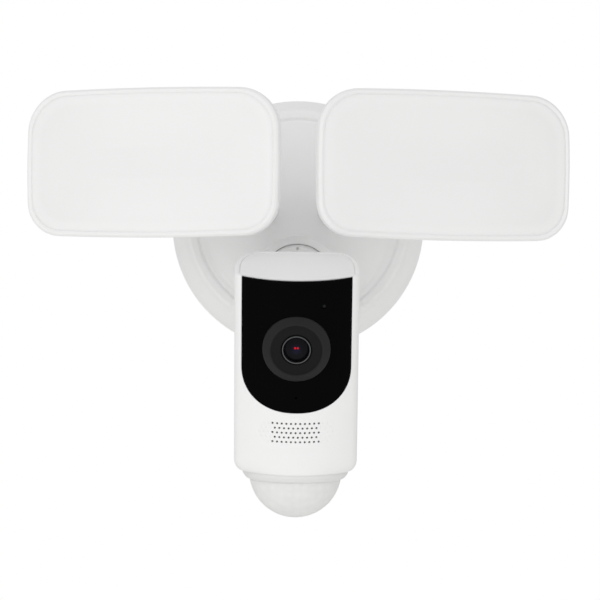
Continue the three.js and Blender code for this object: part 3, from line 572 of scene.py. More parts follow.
def rounded(profile: Profile, steps: int = 5, loop: bool = True) -> list[tuple[float, float]]:
    """Rounds the corners of a profile.

    Args:
        profile: points as (a, b), or (a, b, radius) where the corner is rounded.
        steps: straight steps in each rounded corner.
        loop: whether the last point joins the first.

    Returns:
        The profile's points with an arc for each rounded corner.
    """
    points: list[tuple[float, float]] = []
    count = len(profile)
    for i, corner in enumerate(profile):
        here = Vector(corner[:2])
        at_end = not loop and i in (0, count - 1)
        if len(corner) < 3 or at_end:
            points.append(tuple(here))
            continue
        back = Vector(profile[i - 1][:2]) - here
        ahead = Vector(profile[(i + 1) % count][:2]) - here
        half = back.angle(ahead) / 2
        tangent = min(corner[2] / math.tan(half), 0.48 * back.length, 0.48 * ahead.length)
        radius = tangent * math.tan(half)
        start, end = here + back.normalized() * tangent, here + ahead.normalized() * tangent
        centre = here + (back.normalized() + ahead.normalized()).normalized() * (radius / math.sin(half))
        sweep = math.pi - 2 * half
        first, last = start - centre, end - centre
        for k in range(steps + 1):
            share = k / steps
            low, high = math.sin((1 - share) * sweep), math.sin(share * sweep)
            points.append(tuple(centre + (first * low + last * high) / math.sin(sweep)))
    return points


def arc(radius: float, centre: float, start: float, end: float, steps: int) -> list[tuple[float, float]]:
    """Profile points (radius, y) of an arc about a centre on the Y axis, angles in degrees from +Y."""
    turns = [math.radians(start + (end - start) * i / steps) for i in range(steps + 1)]
    return [(radius * math.sin(turn), centre + radius * math.cos(turn)) for turn in turns]


class Blank:
    """A closed mesh in a station's millimetres, before it becomes a piece."""

    def __init__(self, mesh: bpy.types.Mesh) -> None:
        """Keeps the mesh."""
        self.mesh = mesh

    @classmethod
    def from_bmesh(cls, made: bmesh.types.BMesh) -> "Blank":
        """Merges doubles, turns the faces outwards and keeps the result.

        Args:
            made: the editable mesh, freed here.

        Returns:
            The blank.
        """
        bmesh.ops.remove_doubles(made, verts=made.verts, dist=1e-4)
        bmesh.ops.dissolve_degenerate(made, edges=made.edges, dist=1e-5)
        bmesh.ops.recalc_face_normals(made, faces=made.faces)
        mesh = bpy.data.meshes.new("blank")
        made.to_mesh(mesh)
        made.free()
        return cls(mesh)

    @classmethod
    def from_rings(cls, rings: Sequence[Ring], loop: bool = False) -> "Blank":
        """Makes a solid through rings of points.

        Args:
            rings: rings with the same number of points each.
            loop: whether the last ring joins the first. Otherwise both ends are closed with a face.

        Returns:
            The blank.
        """
        made = bmesh.new()
        rows = [[made.verts.new(point) for point in ring] for ring in rings]
        count = len(rows[0])
        pairs = list(zip(rows, rows[1:])) + ([(rows[-1], rows[0])] if loop else [])
        for low, high in pairs:
            for i in range(count):
                j = (i + 1) % count
                made.faces.new((low[i], low[j], high[j], high[i]))
        if not loop:
            made.faces.new(rows[0])
            made.faces.new(rows[-1])
        return cls.from_bmesh(made)

    @classmethod
    def turned(cls, profile: Profile, segments: int, steps: int = 5) -> "Blank":
        """Turns a closed profile about the Y axis.

        Args:
            profile: points as (radius, y) or (radius, y, rounding).
            segments: straight steps round the axis.
            steps: straight steps in each rounded corner.

        Returns:
            The blank.
        """
        rings = []
        for radius, y in rounded(profile, steps):
            turns = [2 * math.pi * i / segments for i in range(segments)]
            rings.append([Vector((radius * math.sin(t), y, radius * math.cos(t))) for t in turns])
        return cls.from_rings(rings, loop=True)

    @classmethod
    def bar(cls, start: Vector, end: Vector, radius: float, sides: int = 48) -> "Blank":
        """Makes a round bar between two points.

        Args:
            start: the middle of one end.
            end: the middle of the other.
            radius: its radius.
            sides: straight steps round it.

        Returns:
            The blank.
        """
        along = (end - start).normalized()
        across = along.orthogonal().normalized()
        other = along.cross(across)
        turns = [2 * math.pi * i / sides for i in range(sides)]
        circle = [(across * math.cos(t) + other * math.sin(t)) * radius for t in turns]
        return cls.from_rings([[start + spoke for spoke in circle], [end + spoke for spoke in circle]])

    @classmethod
    def rod(cls, radius: float, y_start: float, y_end: float, x: float = 0.0, z: float = 0.0,
            sides: int = 48) -> "Blank":
        """Makes a round bar along Y."""
        return cls.bar(Vector((x, y_start, z)), Vector((x, y_end, z)), radius, sides)

    @classmethod
    def block(cls, size: tuple[float, float, float], centre: tuple[float, float, float]) -> "Blank":
        """Makes a plain box, used only to cut others."""
        made = bmesh.new()
        bmesh.ops.create_cube(made, matrix=Matrix.Translation(centre) @ Matrix.Diagonal((*size, 1)))
        return cls.from_bmesh(made)

    @classmethod
    def plate(cls, half: tuple[float, float], corner: float, y_span: tuple[float, float],
              edge: float = 0.3, middle: tuple[float, float] = (0.0, 0.0)) -> "Blank":
        """Makes a flat plate with rounded corners and softened edges.

        Args:
            half: half of its width and height.
            corner: the radius of its corners.
            y_span: where its two faces are on Y.
            edge: the radius of its edges.
            middle: X and Z of its middle.

        Returns:
            The blank.
        """
        section = rounded([(edge * 4, y_span[0]), (0, y_span[0], edge), (0, y_span[1], edge),
                           (edge * 4, y_span[1])], 4, loop=False)
        rings = []
        for inset, y in section:
            flat = rounded_rectangle(half[0] - inset, half[1] - inset, max(corner - inset, 0.1), 8)
            rings.append([Vector((x + middle[0], y, z + middle[1])) for x, z in flat])
        return cls.from_rings(rings)

    def moved(self, matrix: Matrix) -> "Blank":
        """Returns a copy put somewhere else."""
        mesh = self.mesh.copy()
        mesh.transform(matrix)
        return Blank(mesh)

    def combined(self, operation: Boolean, *others: "Blank") -> "Blank":
        """Combines this blank with others.

        Args:
            operation: what the others do to it.
            others: the other blanks.

        Returns:
            The result, as a new blank.
        """
        hosts = [bpy.data.objects.new("work", blank.mesh) for blank in (self, *others)]
        for host in hosts:
            bpy.context.scene.collection.objects.link(host)
        for tool in hosts[1:]:
            step = hosts[0].modifiers.new("work", "BOOLEAN")
            step.operation, step.solver, step.object = operation.value, "EXACT", tool
        mesh = evaluated_mesh(hosts[0])
        for host in hosts:
            bpy.data.objects.remove(host)
        return Blank(mesh)

    def cut(self, *others: "Blank") -> "Blank":
        """Cuts others from this blank."""
        return self.combined(Boolean.CUT, *others)

    def joined(self, *others: "Blank") -> "Blank":
        """Joins others to this blank."""
        return self.combined(Boolean.JOIN, *others)


def rounded_rectangle(half_width: float, half_height: float, radius: float,
                      steps: int) -> list[tuple[float, float]]:
    """Outlines a rectangle with rounded corners, with the same number of points at any size.

    Args:
        half_width: half of its width.
        half_height: half of its height.
        radius: the corners' radius.
        steps: straight steps in each corner.

    Returns:
        Its points, anticlockwise from the right.
    """
    points = []
    for quadrant in range(4):
        sign_x, sign_z = (1, -1)[quadrant in (1, 2)], (1, -1)[quadrant > 1]
        for i in range(steps + 1):
            angle = math.radians(90 * (quadrant + i / steps))
            points.append((sign_x * (half_width - radius) + radius * math.cos(angle),
                           sign_z * (half_height - radius) + radius * math.sin(angle)))
    return points


def evaluated_mesh(host: bpy.types.Object) -> bpy.types.Mesh:
    """Returns a new mesh with the object's modifiers applied."""
    graph = bpy.context.evaluated_depsgraph_get()
    graph.update()
    return bpy.data.meshes.new_from_object(host.evaluated_get(graph))


@dataclass(frozen=True)
class Maker:
    """Turns blanks into finished pieces that ride on one body."""

    station: Station
    body: str

    def piece(self, blank: Blank, name: str, finish: Finishes, nodes: Sequence[str] = (),
              sharp: float = 34.0) -> bpy.types.Object:
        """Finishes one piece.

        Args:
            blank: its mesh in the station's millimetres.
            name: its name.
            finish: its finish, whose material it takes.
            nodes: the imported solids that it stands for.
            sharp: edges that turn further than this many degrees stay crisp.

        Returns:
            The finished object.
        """
        mesh = blank.mesh
        mesh.transform(Matrix.Scale(MM, 4) @ self.station.matrix)
        mesh.name = name
        mesh.materials.clear()
        mesh.materials.append(finish.value.material())
        mesh.polygons.foreach_set("material_index", [0] * len(mesh.polygons))
        mesh.shade_smooth()
        mesh.set_sharp_from_angle(angle=math.radians(sharp))
        made = bpy.data.objects.new(name, mesh)
        bpy.context.scene.collection.objects.link(made)
        weigh = made.modifiers.new("weigh", "WEIGHTED_NORMAL")
        weigh.keep_sharp = True
        made.data = evaluated_mesh(made)
        made.modifiers.clear()
        made.data.name = name
        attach(made, self.body)
        if nodes:
            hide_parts(*nodes)
        log.info("%s: %d faces on %s in %s", name, len(made.data.polygons), self.body, finish.value.name)
        return made


# ------------------------------------------------------------------------------------------------
# Repeated features
# ------------------------------------------------------------------------------------------------

@dataclass(frozen=True)
class Repeat:
    """Base of the node trees that make what repeats. A tree has named inputs for its sizes."""

    title: str

    def sizes(self) -> dict[str, float]:
        """Names and values of the tree's inputs."""
        raise NotImplementedError

    def grow(self, tree: Tree, size: Node) -> Socket:
        """Builds the tree's middle.

        Args:
            tree: the node tree.
            size: its input node, with an output for each size.

        Returns:
            The geometry output.
        """
        raise NotImplementedError

    def blank(self) -> Blank:
        """Builds the tree, runs it on an empty mesh and keeps the plain result."""
        tree = bpy.data.node_groups.new(self.title, "GeometryNodeTree")
        face = tree.interface
        face.new_socket("Geometry", in_out="OUTPUT", socket_type="NodeSocketGeometry")
        keys = {}
        for name in self.sizes():
            keys[name] = face.new_socket(name, in_out="INPUT", socket_type="NodeSocketFloat").identifier
        size = add_node(tree, "NodeGroupInput")
        shape = self.grow(tree, size)
        real = add_node(tree, "GeometryNodeRealizeInstances", inputs={"Geometry": shape})
        painted = add_node(tree, "GeometryNodeSetMaterial", inputs={
            "Geometry": real.outputs["Geometry"], "Material": Finishes.WHITE_ABS.value.material()})
        add_node(tree, "NodeGroupOutput", inputs={"Geometry": painted.outputs["Geometry"]})
        host = bpy.data.objects.new(self.title, bpy.data.meshes.new(self.title))
        bpy.context.scene.collection.objects.link(host)
        step = host.modifiers.new(self.title, "NODES")
        step.node_group = tree
        for name, value in self.sizes().items():
            step[keys[name]] = float(value)
        mesh = evaluated_mesh(host)
        host.modifiers.clear()
        bpy.data.objects.remove(host)
        made = bmesh.new()
        made.from_mesh(mesh)
        return Blank.from_bmesh(made)


@dataclass(frozen=True)
class PerforationField(Repeat):
    """Staggered round perforations for the loudspeaker, as cutters for a curved front wall.

    The rows are half a pitch out of step. The outer ones are shallow dimples, the inner ones go
    right through. Rows get shorter by half a pitch at each end away from the middle row.
    """

    pitch_x: float = 2.45
    pitch_z: float = 2.56
    radius: float = 0.62
    columns: int = 17
    rows: int = 5
    reach: float = 8.1
    open_reach: float = 5.1
    dimple: float = 0.16
    through: float = 16.0
    wall_radius: float = 50.0
    wall_centre: float = -21.0
    middle_z: float = -30.4

    def sizes(self) -> dict[str, float]:
        """Names and values of the tree's inputs."""
        return {"Pitch X": self.pitch_x, "Pitch Z": self.pitch_z, "Hole radius": self.radius,
                "Open reach": self.open_reach, "Dimple depth": self.dimple, "Through depth": self.through,
                "Wall radius": self.wall_radius, "Wall centre": self.wall_centre, "Middle": self.middle_z}

    def grow(self, tree: Tree, size: Node) -> Socket:
        """Lays a grid, staggers and trims it, bends it onto the wall and stands a cutter on each point.

        Args:
            tree: the node tree.
            size: its input node, with an output for each size.

        Returns:
            The geometry output.
        """
        spot = add_node(tree, "ShaderNodeSeparateXYZ",
                        inputs={"Vector": add_node(tree, "GeometryNodeInputPosition").outputs["Position"]})
        known = {name: size.outputs[name] for name in self.sizes()}
        known |= {"x": spot.outputs["X"], "y": spot.outputs["Y"]}
        # Each step names a value and works it out from numbers and from values that are named before it.
        for name, operation, *values in (
                ("width", "MULTIPLY", "Pitch X", self.columns - 1),
                ("height", "MULTIPLY", "Pitch Z", self.rows - 1),
                ("row", "DIVIDE", "y", "Pitch Z"), ("row", "ROUND", "row"), ("row", "ABSOLUTE", "row"),
                ("shift", "FLOORED_MODULO", "row", 2), ("shift", "MULTIPLY", "shift", 0.5),
                ("shift", "MULTIPLY", "shift", "Pitch X"), ("across", "ADD", "x", "shift"),
                ("away", "ABSOLUTE", "across"), ("away", "DIVIDE", "away", "Pitch X"),
                ("limit", "MULTIPLY", "row", 0.5), ("limit", "SUBTRACT", self.reach, "limit"),
                ("beyond", "GREATER_THAN", "away", "limit"),
                ("square", "POWER", "Wall radius", 2), ("run", "MULTIPLY", "across", "across"),
                ("square", "SUBTRACT", "square", "run"), ("forward", "SQRT", "square"),
                ("forward", "ADD", "forward", "Wall centre"), ("front", "MULTIPLY", "forward", -1),
                ("level", "ADD", "y", "Middle"),
                ("bent away", "ABSOLUTE", "x"), ("bent away", "DIVIDE", "bent away", "Pitch X"),
                ("deep", "LESS_THAN", "bent away", "Open reach"),
                ("deep", "MULTIPLY", "deep", "Through depth"),
                ("dimple", "MULTIPLY", "Dimple depth", 2), ("depth", "ADD", "deep", "dimple")):
            step = add_node(tree, "ShaderNodeMath", {"operation": operation},
                            {i: known.get(value, value) for i, value in enumerate(values)})
            known[name] = step.outputs["Value"]
        grid = add_node(tree, "GeometryNodeMeshGrid", inputs={
            "Size X": known["width"], "Size Y": known["height"],
            "Vertices X": self.columns, "Vertices Y": self.rows})
        trimmed = add_node(tree, "GeometryNodeDeleteGeometry", {"domain": "POINT"}, {
            "Geometry": grid.outputs["Mesh"], "Selection": known["beyond"]})
        where = add_node(tree, "ShaderNodeCombineXYZ",
                         inputs={"X": known["across"], "Y": known["front"], "Z": known["level"]})
        bent = add_node(tree, "GeometryNodeSetPosition", inputs={
            "Geometry": trimmed.outputs["Geometry"], "Position": where.outputs["Vector"]})
        cutter = add_node(tree, "GeometryNodeMeshCylinder", inputs={
            "Vertices": 14, "Radius": known["Hole radius"], "Depth": 1.0})
        stretch = add_node(tree, "ShaderNodeCombineXYZ", inputs={"X": 1.0, "Y": 1.0, "Z": known["depth"]})
        return add_node(tree, "GeometryNodeInstanceOnPoints", inputs={
            "Points": bent.outputs["Geometry"], "Instance": cutter.outputs["Mesh"],
            "Rotation": (math.pi / 2, 0, 0), "Scale": stretch.outputs["Vector"]}).outputs["Instances"]


@dataclass(frozen=True)
class RibRing(Repeat):
    """Radial stiffening ribs inside the canopy, left out where the bracket's tabs stand."""

    count: int = 28
    radius: float = 61.5
    length: float = 9.0
    thick: float = 1.4
    height: float = 7.0
    depth_y: float = -17.0
    clear: float = 15.0

    def sizes(self) -> dict[str, float]:
        """Names and values of the tree's inputs."""
        return {"Radius": self.radius, "Length": self.length, "Thickness": self.thick,
                "Height": self.height, "Depth": self.depth_y, "Clear": self.clear}

    def grow(self, tree: Tree, size: Node) -> Socket:
        """Sets a rib on each point of a circle, turned to face the axis.

        Args:
            tree: the node tree.
            size: its input node, with an output for each size.

        Returns:
            The geometry output.
        """
        get = size.outputs
        circle = add_node(tree, "GeometryNodeMeshCircle",
                          inputs={"Vertices": self.count, "Radius": get["Radius"]})
        spot = add_node(tree, "ShaderNodeSeparateXYZ",
                        inputs={"Vector": add_node(tree, "GeometryNodeInputPosition").outputs["Position"]})
        upright = add_node(tree, "ShaderNodeCombineXYZ", inputs={
            "X": spot.outputs["X"], "Y": get["Depth"], "Z": spot.outputs["Y"]})
        stood = add_node(tree, "GeometryNodeSetPosition", inputs={
            "Geometry": circle.outputs["Mesh"], "Position": upright.outputs["Vector"]})
        level = add_node(tree, "ShaderNodeMath", {"operation": "ABSOLUTE"}, {0: spot.outputs["Z"]})
        hidden = add_node(tree, "ShaderNodeMath", {"operation": "LESS_THAN"},
                          {0: level.outputs["Value"], 1: get["Clear"]})
        kept = add_node(tree, "GeometryNodeDeleteGeometry", {"domain": "POINT"}, {
            "Geometry": stood.outputs["Geometry"], "Selection": hidden.outputs["Value"]})
        bulk = add_node(tree, "ShaderNodeCombineXYZ", inputs={
            "X": get["Length"], "Y": get["Height"], "Z": get["Thickness"]})
        rib = add_node(tree, "GeometryNodeMeshCube", inputs={
            "Size": bulk.outputs["Vector"], "Vertices X": 2, "Vertices Y": 3, "Vertices Z": 2})
        angle = add_node(tree, "ShaderNodeMath", {"operation": "ARCTAN2"},
                         {0: spot.outputs["Z"], 1: spot.outputs["X"]})
        back = add_node(tree, "ShaderNodeMath", {"operation": "MULTIPLY"}, {0: angle.outputs["Value"], 1: -1})
        turn = add_node(tree, "ShaderNodeCombineXYZ", inputs={"Y": back.outputs["Value"]})
        return add_node(tree, "GeometryNodeInstanceOnPoints", inputs={
            "Points": kept.outputs["Geometry"], "Instance": rib.outputs["Mesh"],
            "Rotation": turn.outputs["Vector"]}).outputs["Instances"]


# ------------------------------------------------------------------------------------------------
# Wall base
# ------------------------------------------------------------------------------------------------

@dataclass
class WallBase:
    """Bracket, gasket and round canopy that stay on the wall."""

    maker: Maker
    radius: float = 73.1
    bead: float = 64.2
    lip: float = 58.0
    ledge: float = 50.0
    depth: float = 26.8
    screw_y: float = -12.0
    screw_seat: float = 67.0
    tab: float = 62.0
    segments: int = 256

    def canopy(self) -> None:
        """Outer ring: rolled foot, sloping skirt, round bead, dark groove and the hub's ledge."""
        section = [
            (self.radius, -3.1, 0.6), (self.radius, -6, 3), (self.radius - 2.2, -13.5, 24),
            (self.bead + 1.6, -22, 6), (self.bead + 0.3, -25.8, 2.4), (self.bead - 1.4, -self.depth, 2),
            (self.lip + 1.4, -self.depth, 1.6), (self.lip - 0.1, -25.4, 1.4), (self.lip - 1.2, -25.7, 1.2),
            (self.lip - 3.25, -25.75), (self.lip - 3.25, -24.0), (self.ledge, -24, 0.4),
            (self.ledge, -21.6, 0.4), (self.lip, -21.6, 2),
            (self.bead - 1, -17.5, 5), (self.radius - 4.4, -8, 5), (self.radius - 2.8, -3.1, 0.5),
        ]
        ring = Blank.turned(section, self.segments, 6)
        seat, y = self.screw_seat, self.screw_y
        for side in (-1, 1):
            boss = Blank.bar(Vector((side * (seat - 3.5), y, 0)), Vector((side * seat, y, 0)), 6.3)
            well = Blank.bar(Vector((side * seat, y, 0)), Vector((side * (seat + 10), y, 0)), 4.45, 64)
            hole = Blank.bar(Vector((side * (seat - 6), y, 0)), Vector((side * (seat + 1), y, 0)), 2.35, 32)
            ring = ring.joined(boss).cut(well, hole)
        self.maker.piece(ring, "canopy", Finishes.WHITE_ABS, ["canopy_ring"])
        self.maker.piece(RibRing("canopy ribs").blank(), "canopy_ribs", Finishes.WHITE_ABS)

    def gasket(self) -> None:
        """Foam ring squeezed against the wall, softly rounded."""
        outer = self.radius - 0.8
        section = [(outer, -0.02, 0.8), (outer, -2.75, 0.6), (outer - 5, -2.75, 0.6), (outer - 5, -0.02, 0.8)]
        self.maker.piece(Blank.turned(section, 192), "canopy_gasket", Finishes.EPDM, ["wall_gasket"])

    def bracket(self) -> None:
        """Strap with two slots, and bent tabs with a screw hole in each."""
        strap = Blank.plate((self.tab, 13), 4, (0, -2), 0.25)
        for side in (-1, 1):
            leg = Blank.plate((1.25, 8), 0.6, (0, -16), 0.5, (side * (self.tab - 1.25), 0))
            hole = Blank.bar(Vector((side * (self.tab - 5), self.screw_y, 0)),
                             Vector((side * (self.tab + 2), self.screw_y, 0)), 2.35, 32)
            slot = Blank.plate((6, 2.6), 2.5, (1, -4), 0.05, (side * 41.5, 0))
            strap = strap.joined(leg).cut(hole, slot)
        self.maker.piece(strap, "bracket_strap", Finishes.ZINC, ["wall_bracket"])

    def screws(self) -> None:
        """Pan-head cross screws in the canopy's flanks."""
        for name, side in (("left", -1), ("right", 1)):
            start = self.screw_seat + 0.3
            turned = Blank.turned([
                (0, start + 2.4), (2.6, start + 2.4, 2.5), (4.1, start + 1.1, 1.2), (4.1, start, 0.2),
                (2, start, 0.1), (2, self.tab - 4, 0.4), (0, self.tab - 4),
            ], 48)
            lying = turned.moved(Matrix.Rotation(math.radians(-90 * side), 4, "Z"))
            lying = lying.moved(Matrix.Translation((0, self.screw_y, 0)))
            tip = side * (start + 2.4)
            lying = lying.cut(Blank.block((2.4, 0.9, 5), (tip, self.screw_y, 0)),
                              Blank.block((2.4, 5, 0.9), (tip, self.screw_y, 0)))
            self.maker.piece(lying, f"canopy_screw_{name}_turned", Finishes.STEEL, [f"canopy_screw_{name}"])

    def tray(self) -> None:
        """Driver tray behind the hub, with a ring of ribs pressed in its back."""
        section = [(0, -6), (14, -6, 1), (15, -6.7, 1), (18, -6.7, 1), (19, -6, 1), (38, -6, 1), (39, -6.7, 1),
                   (42, -6.7, 1), (43, -6, 1), (47.5, -6, 1.2), (47.5, -17, 0.4), (45.9, -17, 0.4),
                   (45.9, -7.8, 0.8), (0, -7.8)]
        self.maker.piece(Blank.turned(section, 128), "driver_tray_moulding", Finishes.BLACK_ABS,
                         ["driver_tray"])

    def build(self) -> None:
        """Makes every piece of the wall base."""
        self.canopy()
        self.gasket()
        self.bracket()
        self.screws()
        self.tray()


@dataclass
class Hub:
    """Trumpet-shaped front cover. Its crown and keel each run as a quarter ellipse."""

    maker: Maker
    radius: float = 54.8
    rim_y: float = -26.2
    ledge_y: float = -24.35
    wall: float = 2.5
    mouth_wall: float = 4.65
    mouth: float = 24.0
    mouth_ahead: float = 4.4
    around: int = 192
    steps: int = 44

    def on_axis(self, ahead: float) -> Vector:
        """A point on the camera socket's axis, at a distance in front of the ball."""
        lean = math.radians(SOCKET_TILT)
        return CAMERA_BALL + Vector((0, -math.cos(lean), -math.sin(lean))) * ahead

    def section(self, angle: float, inset: float, ahead: float = 0.0) -> Ring:
        """One circle of the hub.

        Args:
            angle: 0 at the flat rim and 90 at the mouth, in degrees.
            inset: distance inside the outer skin.
            ahead: extra distance along the socket's axis.

        Returns:
            The circle's points.
        """
        lean = math.radians(SOCKET_TILT)
        up = Vector((0, -math.sin(lean), math.cos(lean)))
        face = self.on_axis(self.mouth_ahead)
        turn = math.radians(angle)
        rise, run = 1 - math.cos(turn), math.sin(turn)
        ends = []
        for sign in (1, -1):
            end = face + up * self.mouth * sign
            ends.append(Vector((0, self.rim_y + (end.y - self.rim_y) * rise,
                                sign * self.radius + (end.z - sign * self.radius) * run)))
        centre = (ends[0] + ends[1]) / 2
        upright = ends[0] - centre
        size = upright.length
        upright.normalize()
        centre.y += inset * math.cos(turn)
        centre += self.on_axis(ahead) - self.on_axis(0)
        ring = []
        for i in range(self.around):
            way = 2 * math.pi * i / self.around
            point = centre + upright * (size - inset) * math.cos(way)
            ring.append(point + Vector(((size - inset) * math.sin(way), 0, 0)))
        return ring

    def circle(self, radius: float, y: float) -> Ring:
        """A level circle about the Y axis."""
        turns = [2 * math.pi * i / self.around for i in range(self.around)]
        return [Vector((radius * math.sin(t), y, radius * math.cos(t))) for t in turns]

    def build(self) -> None:
        """Makes the hub with its softened rim, its mouth and the arms' passages."""
        angles = [90 * i / self.steps for i in range(self.steps + 1)]
        edge = ((-0.4, self.ledge_y), (-0.1, self.ledge_y - 0.1),
                (0, self.ledge_y - 0.4), (0, self.rim_y + 0.7))
        rim = [self.circle(self.radius + grow, y) for grow, y in edge]
        skin = [self.section(angle, 0) for angle in angles]
        nose = ((0.15, 0.45), (0.6, 0.75), (1.2, 0.9), (3.6, 0.9), (4.2, 0.7), (self.mouth_wall, 0.2))
        lip = [self.section(90, inset, ahead) for inset, ahead in nose]
        thick = [self.wall + (self.mouth_wall - self.wall) * angle / 90 for angle in angles]
        lining = [self.section(angle, inset) for angle, inset in zip(angles, thick)][::-2]
        foot = self.circle(self.radius - self.wall, self.ledge_y)
        shell = Blank.from_rings([*rim, *skin, *lip, *lining, foot], loop=True)
        bore = Blank.bar(self.on_axis(-9), self.on_axis(12), self.mouth - self.mouth_wall, 128)
        passages = [Blank.bar(arm_root(side, 8), arm_root(side, -20), 8.66, 64) for side in (-1, 1)]
        self.maker.piece(shell.cut(bore, *passages), "hub_cover", Finishes.WHITE_ABS, ["hub_shell"])


def arm_root(side: int, back: float) -> Vector:
    """Finds a point on a lamp arm's centre line.

    Args:
        side: -1 for the left arm and 1 for the right.
        back: its distance back from the arm's root in the hub's flank.

    Returns:
        The point in the object's millimetres.
    """
    root = Vector((20, -42, 0))
    ball = joint_place("lamp_right_tilt")
    root -= (ball - root).normalized() * back
    return Vector((side * root.x, root.y, root.z))


# ------------------------------------------------------------------------------------------------
# Ball joints
# ------------------------------------------------------------------------------------------------

@dataclass(frozen=True)
class BallJoint:
    """Sizes of a ball joint whose mouth faces -Y of its station."""

    ball: float
    bore: float
    seat: float
    cup: float
    open: float
    stem: float

    def ring(self) -> Blank:
        """Lock ring with a rolled nose, and two notches for a pin wrench."""
        front = -self.bore * math.cos(math.radians(self.open))
        inner = arc(self.bore, 0, 180 - self.open, 91.3, 12)
        ring = Blank.turned([(self.cup, -0.3, 0.25), (self.cup, front + 1.4, 1.1),
                             (self.cup - 1.6, front, 0.9), *inner], 128)
        notches = [Blank.rod(0.8, front - 1, front + 1.2, 0, side * (self.cup - 2.2), 20) for side in (-1, 1)]
        return ring.cut(*notches)

    def ball_and_stem(self, reach: float, flange: float, depth: float) -> Blank:
        """Ball, neck and flange turned in one, with a soft fillet at each end of the neck.

        Args:
            reach: from the ball's centre to the flange's face.
            flange: the flange's radius.
            depth: the flange's thickness.

        Returns:
            The blank.
        """
        neck_angle = math.degrees(math.asin(self.stem / self.ball))
        skin = arc(self.ball, 0, 0, 180 - neck_angle - 5, 28)
        foot = -reach + depth
        return Blank.turned([
            *skin, (self.stem, -self.ball * math.cos(math.radians(neck_angle)) - 0.3, 0.8),
            (self.stem, foot, 1.4), (flange - 1, foot, 0.8), (flange, -reach + depth * 0.5, 0.6),
            (flange, -reach, 0.2), (0, -reach),
        ], 96)


LAMP_JOINT = BallJoint(ball=12.5, bore=12.9, seat=14.8, cup=18.8, open=60, stem=6.5)
CAMERA_JOINT = BallJoint(ball=15, bore=15.4, seat=17.6, cup=19, open=72, stem=6.2)


# ------------------------------------------------------------------------------------------------
# Lamp heads
# ------------------------------------------------------------------------------------------------

